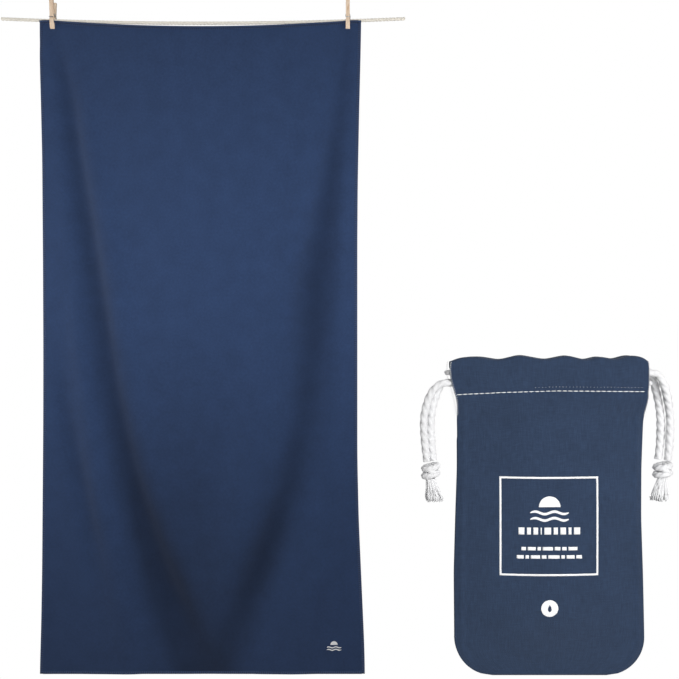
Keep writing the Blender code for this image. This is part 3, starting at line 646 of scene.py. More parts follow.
def laid_radii(run, radius, around, lay, strands=3, phase=0.0, depth=1.0):
    """Radii of a cord laid from round strands. Seen in section, the strands are circles set
    evenly about the middle, and the pattern turns once in each length of lay. Depth is how
    far the hollows between them go in: less than 1 where soft yarn fills them."""
    angle = 2 * np.pi * np.arange(around) / around
    turned = angle[None, :] - 2 * np.pi * run[:, None] / lay + phase
    step = 2 * np.pi / strands
    off = np.mod(turned + step / 2, step) - step / 2
    middle, strand = 0.47, 0.53
    radii = middle * np.cos(off) + np.sqrt(strand**2 - (middle * np.sin(off)) ** 2)
    radii = 1 + (radii - 1) * depth
    return radii * np.broadcast_to(radius, run.shape)[:, None]


def normals_of(grid):
    """Unit normals of a grid, square to its two directions."""
    over = np.gradient(grid, axis=1)
    down = np.gradient(grid, axis=0)
    normal = np.cross(over, down)
    return normal / np.linalg.norm(normal, axis=2, keepdims=True)


def cloth_shape(middle, thick, across, down):
    """A closed sheet: a grid moved half its thickness along its normals each way, and
    joined round its rim. Across and down are its cut's own lengths, for the weave."""
    rows, columns = middle.shape[:2]
    behind = rows * columns
    offset = normals_of(middle) * thick / 2
    points = np.concatenate([(middle - offset).reshape(-1, 3), (middle + offset).reshape(-1, 3)])
    quads, steps = grid_faces(rows, columns)
    uv = np.stack([across[steps[..., 1]], down[steps[..., 0]]], -1)
    index = np.arange(behind).reshape(rows, columns)
    rim = np.r_[index[0, :-1], index[:-1, -1], index[-1, :0:-1], index[:0:-1, 0]]
    after = np.roll(rim, -1)
    rim_quads = np.stack([rim, rim + behind, after + behind, after], axis=-1)
    places = rim_quads % behind
    rim_uv = np.stack([across[places % columns], down[places // columns]], -1)
    faces = [quads, quads[:, ::-1] + behind, rim_quads]
    return points, faces, [uv, uv[:, ::-1], rim_uv]


def add_piece(name, shape, material, body, replaces=(), smooth=True):
    """A mesh object at the origin from a shape, riding on a body and standing for CAD nodes."""
    points, faces, uvs = shape
    corners = np.concatenate([f.ravel() for f in faces]).astype(np.int32)
    sizes = np.concatenate([np.full(len(f), f.shape[1]) for f in faces])
    mesh = bpy.data.meshes.new(name)
    mesh.vertices.add(len(points))
    mesh.vertices.foreach_set("co", points.ravel().astype(np.float32))
    mesh.loops.add(len(corners))
    mesh.loops.foreach_set("vertex_index", corners)
    mesh.polygons.add(len(sizes))
    mesh.polygons.foreach_set("loop_start", np.r_[0, np.cumsum(sizes)[:-1]].astype(np.int32))
    layer = mesh.uv_layers.new(name="UVMap")
    places = np.concatenate([u.reshape(-1, 2) for u in uvs])
    layer.data.foreach_set("uv", places.ravel().astype(np.float32))
    mesh.update(calc_edges=True)
    if mesh.validate():
        raise RuntimeError(f"{name}: its mesh has faults")
    work = bmesh.new()
    work.from_mesh(mesh)
    bmesh.ops.recalc_face_normals(work, faces=work.faces)
    work.to_mesh(mesh)
    work.free()
    if smooth:
        mesh.shade_smooth()
    mesh.materials.append(material)
    piece = bpy.data.objects.new(name, mesh)
    bpy.context.scene.collection.objects.link(piece)
    if body is None:
        return piece
    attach(piece, body)
    if replaces:
        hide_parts(*replaces)
    return piece


# ---------------------------------------------------------------- the line and the cords


def line_route():
    """The line's centre, every 1.5 mm: its height rises with the square of the distance
    from the middle."""
    x = np.linspace(LINE_LEFT, LINE_RIGHT, 660)
    return np.stack([x, 0 * x, LINE_MIDDLE_Z + LINE_SAG * (x / LINE_RIGHT) ** 2], 1)


def in_pouch(points):
    """Points in the pouch's own millimetres, as places in the scene."""
    return POUCH_PLACE + np.asarray(points, float) * MM


def cord_route(label, layer):
    """A drawstring's run in the channel, then its strand down to the knot, as one curve."""
    side = -1 if label == "left" else 1
    depth = -RUN_DEPTH if layer == "front" else RUN_DEPTH
    height = RUN_HEIGHTS[label]
    far = [(-side * x, depth / MM, height) for x in (84.5, 50, 16, -18, -52, -78)]
    return curve_through(in_pouch(far + list(STRAND_ROUTES[f"{label}_{layer}"])), 0.9 * MM)


def knot_shape(place):
    """An overhand knot in two strands: three round wraps, each the strand carried on a
    circle about an axis that leans, two side by side one way and one across them."""
    angle = np.linspace(0, 2 * np.pi, 72, endpoint=False)
    shapes = []
    for lean, lift, wide, deep in KNOT_WRAPS:
        across, back = wide * np.cos(angle) * MM, deep * np.sin(angle) * MM
        rise = across * np.sin(lean) * 0.7 + lift * MM
        route = place + np.stack([across * np.cos(lean), back, rise], 1)
        run = np.linspace(0, 2 * np.pi * wide * MM, len(angle), endpoint=False)
        lay = (run[-1] + run[1]) / max(1, round(run[-1] / KNOT_LAY))
        radii = laid_radii(run, KNOT_THICKNESS / 2 * 0.94, 18, lay, depth=CORD_HOLLOWS)
        rings = tube_rings(route, radii, reference=(-np.sin(lean) * 0.7, 0, 1), closed=True)
        shapes.append(sweep_shape(rings, run, np.pi * KNOT_THICKNESS, ring=True))
    return joined(shapes)


def tassel_shape(top, lean, seed):
    """Frayed ends: many fine yarns that start close together and fan out downwards, each
    with its own slow wave."""
    count, rows, around = 190, 9, 5
    chance = np.random.default_rng(seed)
    share = np.linspace(0, 1, rows)
    turn = 2 * np.pi * chance.random(count)
    spread = np.sqrt(chance.random(count))
    length = TASSEL_LENGTH * (1 - 0.16 * chance.random(count))
    wide = 3.9 + 4.1 * share**1.2
    pace = 0.6 + chance.random((count, 1))
    sway = 0.9 * np.sin(2 * np.pi * (share[None] * pace + chance.random((count, 1))))
    x = spread[:, None] * np.cos(turn)[:, None] * wide + lean * share + sway * share
    y = 0.72 * spread[:, None] * np.sin(turn)[:, None] * wide + 0.6 * sway * share
    z = 1.5 - length[:, None] * share
    routes = top + np.stack([x, y, z], -1) * MM
    radii = (0.5 + 0.18 * chance.random((count, 1))) * (1 - 0.35 * share) * MM
    angle = 2 * np.pi * np.arange(around) / around
    circle = np.stack([np.cos(angle), np.sin(angle), 0 * angle], 1)
    rings = routes[:, :, None] + radii[..., None, None] * circle
    run = share * TASSEL_LENGTH * MM
    return joined([sweep_shape(each, run, 0.003) for each in rings])


def turn_route(label):
    """The bend where a cord passes from one channel to the other: half an ellipse."""
    side = 1 if label == "left" else -1
    angle = np.linspace(-np.pi / 2, np.pi / 2, 40)
    x = side * (RUN_HALF_LENGTH + 0.6 * MM + 0.8 * RUN_DEPTH * np.cos(angle))
    y = RUN_DEPTH * np.sin(angle)
    return POUCH_PLACE + np.stack([x, y, 0 * x + RUN_HEIGHTS[label] * MM], 1)


# ---------------------------------------------------------------- the towel


def towel_top(x):
    """Height of the top edge: a shallow curve, deepest midway, and level at its ends."""
    return np.minimum(-TOWEL_TOP_SAG * (1 - (x / TOWEL_RIGHT) ** 2), TOWEL_TOP_HIGHEST)


def towel_folds(x, z, kind=""):
    """How far the folds whose names end in a kind push the cloth back. Each is a bell across
    its line, as deep as its own depth at that height."""
    total = 0 * x
    for name, fold in TOWEL_FOLDS.items():
        if name.endswith(kind):
            heights, *rest = (np.array(values) * MM for values in fold)
            middle, deep, wide = (along(z, heights, values) for values in rest)
            total = total + deep * np.exp(-(((x - middle) / wide) ** 2))
    return total


def towel_hollows(x, z):
    """How deep in a fold a place lies, which sets the painted shade there: 0 on the open cloth, 1 at the
    bottom of a hollow.
    """
    return np.clip(towel_folds(x, z, "hollow") / DEEPEST_HOLLOW, 0, 1)


def towel_bottom(x):
    """Height of the bottom edge: the cloth hangs a little lower where it lies back."""
    back = np.maximum(towel_depth(x, TOWEL_BOTTOM + 0 * x), 0)
    return TOWEL_BOTTOM - 0.5 * back


def towel_depth(x, z):
    """How far back the cloth's middle lies at a place across and a height.

    It is the sum of the curl at the line, the settling to the plane below the pegs, and the
    folds, which flatten towards the bottom edge. The pegs add creases that fan out below
    them and die away, and the bottom edge ripples."""
    down = towel_top(x) - z
    curl = TOWEL_CURL * (1 - ease(down / TOWEL_CURL_HEIGHT))
    y = JAW_PLANE_Y - curl - JAW_PLANE_Y * ease((down - 0.03) / 0.15)
    creases = 0 * x
    for peg in PEG_X.values():
        away = x - peg
        reach = np.maximum(down - 0.02, 0.001)
        angle = np.arctan2(away, reach)
        fade = ease(down / 0.06) * np.exp(-down / 0.16)
        creases = creases + 1.9 * MM * np.cos(7.5 * angle) * fade * np.exp(-((angle / 1.05) ** 2))
    hem_ripple = 1.3 * MM * np.sin(x / 0.041 + 1.1) * np.sin(x / 0.113) * ease((-1.35 - z) / 0.25)
    depth = bpy.context.scene.towel_cloth.fold_depth
    folds = towel_folds(x, z) * depth * (1 - 0.55 * ease((-1.40 - z) / 0.20))
    return y + (folds + creases + hem_ripple) * ease((down - 0.004) / 0.09)


def towel_edges(z):
    """The cloth's left and right edges at a height."""
    return along(z, *LEFT_EDGE), along(z, *RIGHT_EDGE)


def towel_grid(rows, columns):
    """The cloth's middle surface: places across and down, evenly spaced but for closer
    rows where it curls at the line."""
    u = np.linspace(0, 1, columns)
    near = np.array([0, 1.0, 2.0, 3.0, 4.0, 5.0, 7.0, 10.0, 14.0]) * MM
    reach = np.r_[near, np.linspace(0.019, TOWEL_LENGTH, rows - len(near))]
    down = reach[:, None] / TOWEL_LENGTH
    x_flat = TOWEL_LEFT + (TOWEL_RIGHT - TOWEL_LEFT) * u
    top = towel_top(x_flat)[None]
    z = top - down * (top - towel_bottom(x_flat)[None])
    left, right = towel_edges(z)
    x = left + (right - left) * u[None]
    return np.stack([x, towel_depth(x, z), z], -1), TOWEL_WIDTH * u, reach


def hem_profile(width, thread, lip):
    """A binding's section as distances in from the edge and off the cloth's middle: a long
    hairpin about the edge, its outer side rounded, closed along the cloth."""
    turn = np.linspace(-np.pi / 2, np.pi / 2, 7)[1:-1]
    outer = np.linspace(width, 0.0, 6)
    swell = thread * np.array([0.66, 0.86, 0.92, 0.96, 1.0, 1.0])
    into = np.r_[outer, -lip * np.cos(turn), outer[::-1], width - 0.4 * MM, 0.2 * MM, width - 0.4 * MM]
    off = np.r_[-swell, thread * np.sin(turn), swell[::-1], 0.3 * MM, 0.0, -0.3 * MM]
    return into, off


def side_hem_shape(side):
    """The overlocked binding down one side edge: its profile carried down the edge."""
    z = np.linspace(towel_top(side * 0.39) - 0.2 * MM, TOWEL_BOTTOM + 0.2 * MM, 420)
    into, off = hem_profile(*HEM_SECTION)
    left, right = towel_edges(z)
    edge = left if side < 0 else right
    x = edge[:, None] - side * into[None]
    inner_x = edge[:, None] - side * np.maximum(into, 0.0)[None]
    y = towel_depth(inner_x, z[:, None] + 0 * inner_x)
    sections = np.stack([x, y + off[None], z[:, None] + 0 * x], -1)
    return sweep_shape(sections, np.abs(z - z[0]), HEM_GIRTH)


def end_hem_shape(top):
    """The overlocked binding along the top or the bottom edge, between the side ones."""
    u = np.linspace(0.0085, 0.9915, 330)
    into, off = hem_profile(*HEM_SECTION)
    if top:
        x = TOWEL_LEFT + (TOWEL_RIGHT - TOWEL_LEFT) * u
        edge = towel_top(x)
        direction = -1
    else:
        left, right = towel_edges(np.array([TOWEL_BOTTOM]))
        x = left + (right - left) * u
        edge = towel_bottom(x)
        direction = 1
    z = edge[:, None] + direction * into[None]
    inner = edge[:, None] + direction * np.maximum(into, 0.0)[None]
    y = towel_depth(x[:, None] + 0 * inner, inner)
    sections = np.stack([x[:, None] + 0 * z, y + off[None], z], -1)
    return sweep_shape(sections, TOWEL_WIDTH * u, HEM_GIRTH)


def on_towel(x, z, lift):
    """Places on the towel's face, stood off by a lift; a negative lift is off its back."""
    return np.stack([x, towel_depth(x, z) - lift, z], -1)


def half_disc_places(radius, low):
    """Places of a half disc: rows of rising height, each as wide as the circle there."""
    height = np.linspace(0, 0.992, 16)[:, None]
    across = np.linspace(-1, 1, 31)[None]
    x = radius * np.sqrt(1 - height**2) * across
    return x, low + radius * height + 0 * x


def disc_places(x_middle, z_middle, radius):
    """Places of a disc: a square grid drawn out so that its squares become circles."""
    a, b = np.meshgrid(np.linspace(-1, 1, 27), np.linspace(-1, 1, 27))
    reach = np.maximum(np.abs(a), np.abs(b))
    length = np.maximum(np.hypot(a, b), 1e-9)
    return x_middle + radius * a * reach / length, z_middle + radius * b * reach / length


def wave_places(half_width, height, swell, middle):
    """Places of a ribbon that rises and falls twice along its length."""
    along_it = np.linspace(-1, 1, 61)[None]
    over = np.linspace(-0.5, 0.5, 7)[:, None]
    taper = np.sqrt(np.clip(1.02 - along_it**6, 0, 1))
    x = half_width * along_it + 0 * over
    return x, middle + swell * np.sin(2 * np.pi * along_it) + over * height * taper


def patch_shape(x, z, surface, lift, thick):
    """A thin patch that follows a surface: its grid of places, stood off and thickened."""
    middle = surface(x, z, lift)
    across = x[len(x) // 2] - x.min()
    down = z[:, z.shape[1] // 2] - z.min()
    return cloth_shape(middle, thick, across, down)


# ---------------------------------------------------------------- the pegs


def spring_coil(x):
    """The coil: a helix along the axis between the legs."""
    turn = np.linspace(0, 2 * np.pi * COIL_TURNS, 30 * COIL_TURNS + 1)
    across = np.linspace(-ARM_X, ARM_X, len(turn))
    y = JAW_PLANE_Y + COIL_RADIUS * np.sin(turn)
    return np.stack([x + across, y, COIL_Z - COIL_RADIUS * np.cos(turn)], 1)


def spring_arm(x, side):
    """An arm: out past the leg's edge, then bent over and across the leg's groove."""
    start = (x + side * ARM_X, JAW_PLANE_Y - 0.2 * side * MM, COIL_Z - COIL_RADIUS)
    turns = ((ARM_X, 2.6, 9.8), (ARM_X, 5.0, 8.5), (5.75 * MM, 7.6, 6.6), (5.2 * MM, 9.1, 5.25))
    bent = [(x + side * a, JAW_PLANE_Y + side * depth * MM, z * MM) for a, depth, z in turns]
    over = [
        (x + side * a * MM, JAW_PLANE_Y + side * WIRE_DEPTH, WIRE_CROSSING_Z)
        for a in (4.0, 1.4, -1.4, -4.4)
    ]
    return curve_through([start, *bent, *over], 0.4 * MM)


def wire_shape(route, reference, radius=0.8 * MM):
    """A round wire along a route."""
    radii = np.full((len(route), 12), radius)
    return sweep_shape(tube_rings(route, radii, reference), path_length(route), 2 * np.pi * radius)


# ---------------------------------------------------------------- the pouch


def pouch_edges(z, side=-1):
    """A panel's left and right edges at a height: the side lines, drawn in round the
    bottom corners by a circle. Side is -1 for the front panel and 1 for the back one."""
    left = along(z, *POUCH_LEFT_EDGE)
    right = along(z, *POUCH_RIGHT_EDGE)
    rise = np.clip(POUCH_CORNER + POUCH_BOTTOM - z, 0, POUCH_CORNER)
    inset = POUCH_CORNER - np.sqrt(POUCH_CORNER**2 - rise**2)
    tuck = BACK_TUCK * ease((z - 0.205) / 0.03) if side > 0 else 0.0
    return left + inset + tuck, right - inset


def pouch_top(x):
    """Height of the gathered top edge."""
    return along(x, *POUCH_TOP_EDGE)


def pouch_depth(x, z, side):
    """Distance of a panel's middle surface from the pouch's middle plane.

    The body is a seam's half thickness, plus a belly that is fullest midway up and falls to
    the side seams by a power of the distance across. The header stands off by the channel's
    depth. Slow waves crease the cloth, and the line of stitches puckers it."""
    left, right = pouch_edges(z, side)
    u = np.clip((2 * x - left - right) / (right - left), -1, 1)
    fill = ease(z / 0.07) * (1 - 0.35 * ease((z - 0.15) / 0.1))
    belly = POUCH_BELLY * fill * (1 - np.abs(u) ** 2.4)
    allowance = 0.9 * MM * np.exp(-(((np.abs(u) - 0.93) / 0.03) ** 2)) * ease(z / 0.02)
    body = 0.56 * MM + belly + allowance
    shift = 0.7 if side < 0 else 2.3
    waves = np.sin(x / 0.017 + 1.8 * np.sin(z / 0.06 + shift)) * np.sin(z / 0.043 + shift)
    slant = np.sin((x + 0.6 * z) / 0.029 + shift) * np.sin((z - 0.4 * x) / 0.037)
    quiet = (1 - np.abs(u) ** 6) * ease(z / 0.05)
    pucker = np.sin(x / 0.0033 + 2 * np.sin(x / 0.021)) * np.exp(-np.abs(z - 0.2495) / 0.010)
    pinch = -0.9 * MM * np.exp(-(((z - 0.2497) / 0.0022) ** 2))
    into_header = ease((z - 0.222) / 0.026)
    depth = body + (HEADER_DEPTH - body) * into_header
    ripple = 0.9 * MM * (pouch_top(x) - 0.2777) / 0.0045 * ease((z - 0.256) / 0.02)
    creases = (0.55 * waves + 0.5 * slant) * quiet * MM
    return depth + creases + 0.22 * MM * pucker + pinch + np.maximum(ripple, 0)


def pouch_grid(side):
    """A panel's middle surface as one sheet: up the outside, over the fold at the top, down
    the inside of the channel, and out again to the line of stitches."""
    u = np.linspace(0, 1, 151)[None]
    share = np.linspace(0, 1, 176)[:, None]
    guess = POUCH_LEFT_EDGE[1].min() + u * (POUCH_RIGHT_EDGE[1].max() - POUCH_LEFT_EDGE[1].min())
    fold_radius = (HEADER_DEPTH - MOUTH_DEPTH) / 2
    top = pouch_top(guess) - fold_radius
    z_out = POUCH_BOTTOM + (top - POUCH_BOTTOM) * share
    left, right = pouch_edges(z_out, side)
    x_out = left + (right - left) * u
    y_out = pouch_depth(x_out, z_out, side)
    angle = np.linspace(0, np.pi, 13)[1:][:, None]
    outer = y_out[-1:]
    radius = (outer - MOUTH_DEPTH) / 2
    x_end = x_out[-1:]
    z_fold = z_out[-1:] + fold_radius * np.sin(angle)
    y_fold = outer - radius + radius * np.cos(angle)
    z_in = np.linspace(1, 0, 37)[1:][:, None] * (z_out[-1:] - 0.2486) + 0.2486
    flat = pouch_depth(x_end + 0 * z_in, z_in, side) - 1.05 * MM
    y_in = MOUTH_DEPTH + (flat - MOUTH_DEPTH) * ease((0.2549 - z_in) / 0.0052)
    left_in, right_in = pouch_edges(z_in, side)
    inset = WALL_INSET * ease((z_out[-1:] - z_in) / 0.006)
    x_in = left_in + inset + (right_in - left_in - 2 * inset) * u
    x_in = x_end + (x_in - x_end) * ease((z_out[-1:] - z_in) / 0.004)
    x = np.concatenate([x_out, x_end + 0 * z_fold, x_in])
    y = np.concatenate([y_out, y_fold, y_in])
    z = np.concatenate([z_out, z_fold, z_in])
    grid = POUCH_PLACE + np.stack([x, side * y, z], -1)
    middle = grid[:, grid.shape[1] // 2]
    return grid, 0.172 * u[0], path_length(middle)


def on_pouch(side):
    """A function that gives places on a panel's outer face, stood off by a lift."""

    def surface(x, z, lift):
        depth = pouch_depth(x, z, side) + 0.5 * MM + lift
        return POUCH_PLACE + np.stack([x, side * depth, z], -1)

    return surface


def stitches_shape(starts, ends, surface, thickness, sink=0.12 * MM):
    """A row of stitches: each a short thread that rises out of the cloth and goes back in,
    as half a sine wave between its two holes."""
    share = np.linspace(0, 1, 9)[None, :, None]
    flat = starts[:, None] + (ends - starts)[:, None] * share
    arch = np.sin(np.pi * share[..., 0])
    lift = thickness * 0.5 * arch - sink * (1 - arch)
    middle = surface(flat[..., 0], flat[..., 1], lift)
    heading = (ends - starts) / np.linalg.norm(ends - starts, axis=1, keepdims=True)
    over = np.stack([-heading[:, 1], 0 * heading[:, 0], heading[:, 0]], 1)
    out = np.array([0.0, 1.0, 0.0])
    angle = 2 * np.pi * np.arange(7) / 7
    radius = 0.5 * thickness * (0.45 + 0.55 * arch)
    cosine, sine = (turn(angle)[None, None, :, None] for turn in (np.cos, np.sin))
    circle = cosine * over[:, None, None] + sine * out
    rings = middle[:, :, None] + radius[..., None, None] * circle
    run = np.linspace(0, 1, 9) * 0.004
    return joined([sweep_shape(each, run, np.pi * thickness) for each in rings])


def row_of_stitches(line_x, line_z, length, gap, surface, thickness):
    """Stitches of a length and a gap along a line given as places across and heights."""
    route = np.stack([line_x, line_z], 1)
    run = path_length(route)
    starts = np.arange(0.3 * gap, run[-1] - length, length + gap)
    ends = starts + length
    a = np.stack([np.interp(starts, run, line_x), np.interp(starts, run, line_z)], 1)
    b = np.stack([np.interp(ends, run, line_x), np.interp(ends, run, line_z)], 1)
    return stitches_shape(a, b, surface, thickness)


def stitch_line_height(x):
    """Height of the top stitching: it runs a little higher to the right."""
    return np.interp(x, *STITCH_LINE)


def seam_shape():
    """The seam allowance inside the pouch: a flat strip that follows both sides and the
    round corners, a fixed width inwards from the edge."""
    corner = np.linspace(0, np.pi / 2, 24)
    up = np.linspace(0.221, POUCH_CORNER, 40)
    left_up, right_up = pouch_edges(up)
    base_left, base_right = pouch_edges(np.array([POUCH_CORNER]))
    cl, cr = base_left[0] + POUCH_CORNER, base_right[0] - POUCH_CORNER
    cosine, sine = POUCH_CORNER * np.cos(corner), POUCH_CORNER * np.sin(corner)
    left_corner = np.stack([cl - cosine, POUCH_CORNER - sine], 1)
    right_corner = np.stack([cr + sine, POUCH_CORNER - cosine], 1)
    path = np.concatenate(
        [
            np.stack([left_up, up], 1), left_corner[1:], right_corner,
            np.stack([right_up, up], 1)[::-1][1:],
        ]
    )
    run = path_length(path)
    at = np.linspace(0, 1, 160) * run[-1]
    x = np.interp(at, run, path[:, 0])
    z = np.interp(at, run, path[:, 1])
    ahead = np.stack([np.gradient(x), np.gradient(z)], 1)
    ahead /= np.linalg.norm(ahead, axis=1, keepdims=True)
    inward = np.stack([-ahead[:, 1], ahead[:, 0]], 1)
    into = np.array([0.5, 2.5, 5.0, 7.5, 7.9, 7.5, 5.0, 2.5]) * MM
    off = np.array([-0.25, -0.3, -0.35, -0.3, 0.0, 0.3, 0.35, 0.3]) * MM
    px = x[:, None] + inward[:, :1] * into
    pz = z[:, None] + inward[:, 1:] * into
    sections = POUCH_PLACE + np.stack([px, 0 * px + off, pz], -1)
    return sweep_shape(sections, at, 0.016)


def pouch_frame_shape(surface):
    """The printed square: a flat band round four sides, a fixed width inside its edge."""
    side = np.linspace(-1, 1, 25)[:-1]
    one = np.ones_like(side)
    a = np.concatenate([side, one, -side, -one])
    b = np.concatenate([-one, side, one, -side])
    reach = np.array([FRAME_HALF, FRAME_HALF - FRAME_LINE / 2, FRAME_HALF - FRAME_LINE])
    x = PRINT_MIDDLE_X + a[:, None] * reach
    z = FRAME_MIDDLE_Z + b[:, None] * reach
    front = surface(x, z, 0.24 * MM)
    back = surface(x, z, 0.06 * MM)
    sections = np.concatenate([front, back[:, ::-1]], axis=1)
    run = np.arange(len(a)) * 8 * FRAME_HALF / len(a)
    return sweep_shape(sections, run, 0.004, ring=True)


def dash_row_shape(left, right, low, high, widths, gap, surface):
    """A row of plain blocks of different widths, where a line of printing would be."""
    widths = np.array(widths, float)
    widths = widths / widths.sum() * (right - left - gap * (len(widths) - 1))
    starts = left + np.r_[0, np.cumsum(widths + gap)[:-1]]
    over = np.linspace(0, 1, 6)[None]
    up = np.linspace(low, high, 5)[:, None]
    shapes = []
    for start, width in zip(starts, widths):
        x = start + width * over + 0 * up
        shapes.append(patch_shape(x, up + 0 * x, surface, *INK))
    return joined(shapes)


# ---------------------------------------------------------------- the stage


def floor_shape(radius, height):
    """A round floor: a flat disc of paper under the towel and the pouch."""
    x, y = disc_places(0, 0, radius)
    middle = np.stack([x + 0.05, y - 0.72, height + 0 * x], -1)
    across = np.linspace(0, 2 * radius, x.shape[1])
    return cloth_shape(middle, 0.003, across, across)


def add_area_light(name, place, aim, size, power):
    """A soft box: a square area light, turned so that its face looks at a point."""
    data = bpy.data.lights.new(name, "AREA")
    data.shape = "SQUARE"
    data.size = size
    data.energy = power
    light = bpy.data.objects.new(name, data)
    light.location = place
    heading = Vector(aim) - Vector(place)
    light.rotation_euler = heading.to_track_quat("-Z", "Y").to_euler()
    light.visible_camera = False
    bpy.context.scene.collection.objects.link(light)


# ---------------------------------------------------------------- settings


def colour_setting(name, description, code):
    """A colour property with its default from an sRGB hex value."""
    return FloatVectorProperty(
        name=name, description=description, default=linear(code), size=4, min=0, max=1, subtype="COLOR"
    )


def length_setting(name, description, default):
    """A length property, in metres."""
    return FloatProperty(name=name, description=description, default=default, min=0, unit="LENGTH")


def power_setting(name, description, default):
    """A light's power, in watts."""
    return FloatProperty(name=name, description=description, default=default, unit="POWER")


def share_setting(name, description, default):
    """A plain factor."""
    return FloatProperty(name=name, description=description, default=default, min=0, subtype="FACTOR")


class TowelLineSettings(bpy.types.PropertyGroup):
    diameter: length_setting("Diameter", "Thickness of the line across its strands", 8 * MM)
    lay: length_setting("Lay", "Length in which a strand goes once round the line", 27 * MM)
    colour: colour_setting("Colour", "Colour of the unbleached cotton", "#ECE6DA")


class TowelClothSettings(bpy.types.PropertyGroup):
    thickness: length_setting("Thickness", "Thickness of the microfibre cloth", 0.8 * MM)
    fold_depth: share_setting("Fold depth", "Depth of the hanging folds, as a share", 2.0)
    colour: colour_setting("Colour", "Colour of the brushed microfibre", "#273A5C")
    hem_colour: colour_setting("Binding", "Colour of the overlocked thread", "#26385A")
    stitch_colour: colour_setting("Embroidery", "Colour of the embroidery thread", "#FFFFFF")


class TowelPegSettings(bpy.types.PropertyGroup):
    wood: colour_setting("Wood", "Colour of the front leg", "#EBD3BA")
    pale_wood: colour_setting("Pale wood", "Colour of the back leg", "#EBD8C0")
    vein: colour_setting("Growth lines", "Colour of the wood's darker lines", "#CFA67F")
    wire: colour_setting("Wire", "Colour of the spring wire", "#C3C6CA")


class TowelPouchSettings(bpy.types.PropertyGroup):
    thickness: length_setting("Thickness", "Thickness of the canvas", 1.0 * MM)
    stitch: length_setting("Stitch", "Length of a top stitch", 4.4 * MM)
    colour: colour_setting("Colour", "Colour of the canvas", "#2B3B54")
    thread: colour_setting("Thread", "Colour of the top stitching", "#FFFFFF")
    ink: colour_setting("Ink", "Colour of the printing", "#FFFFFF")
    dark_ink: colour_setting("Dark ink", "Colour of the mark on the disc", "#2C3850")


class TowelCordSettings(bpy.types.PropertyGroup):
    diameter: length_setting("Diameter", "Thickness of a cord outside the channel", 6.8 * MM)
    lay: length_setting("Lay", "Length in which a strand goes once round the cord", 23 * MM)
    colour: colour_setting("Colour", "Colour of the bleached cotton", "#EDEDEE")


class TowelStageSettings(bpy.types.PropertyGroup):
    towel_power: power_setting("Towel light", "Power of the towel's front soft box", 6.4)
    side_power: power_setting("Side lights", "Power of the soft box at each side", 7.5)
    pouch_power: power_setting("Pouch light", "Power of the pouch's soft box", 9.0)
    back_power: power_setting("Back light", "Power of the soft box behind", 38.0)
    pouch_back_power: power_setting("Pouch back light", "Power of the box behind the pouch", 1.6)
    top_power: power_setting("Top light", "Power of the overhead soft box", 12.0)
    ambient: share_setting("Ambient", "Brightness of the surroundings", 0.1)
    floor: length_setting("Floor", "Distance of the floor below the line", 1.9)


# ---------------------------------------------------------------- operators


class TOWEL_OT_camera(bpy.types.Operator):
    """Set the camera level with the middle of the towel, square to it"""

    bl_idname = "towel.camera"
    bl_label = "Camera"

    def execute(self, context):
        data = bpy.data.cameras.new("camera")
        data.sensor_width = 36
        data.lens = data.sensor_width * CAMERA_DISTANCE / VIEW_WIDTH
        camera = bpy.data.objects.new("camera", data)
        camera.location = (0.3384, -CAMERA_DISTANCE, -0.7815)
        camera.rotation_euler = (np.pi / 2, 0, 0)
        context.scene.collection.objects.link(camera)
        context.scene.camera = camera
        return {"FINISHED"}


class TOWEL_OT_line(bpy.types.Operator):
    """Add the line: three strands of cotton laid into a rope, pulled nearly straight"""

    bl_idname = "towel.line"
    bl_label = "Line"

    def execute(self, context):
        look = context.scene.towel_line
        route = line_route()
        run = path_length(route)
        radii = laid_radii(run, look.diameter / 2, 36, look.lay)
        shape = sweep_shape(tube_rings(route, radii, (0, 1, 0)), run, np.pi * look.diameter)
        material = spun_cotton("spun_cotton_cream", look.colour, 1.1 * MM)
        rope = add_piece("line_laid_rope", shape, material, "line", ["line_rope"])
        return {"FINISHED"}


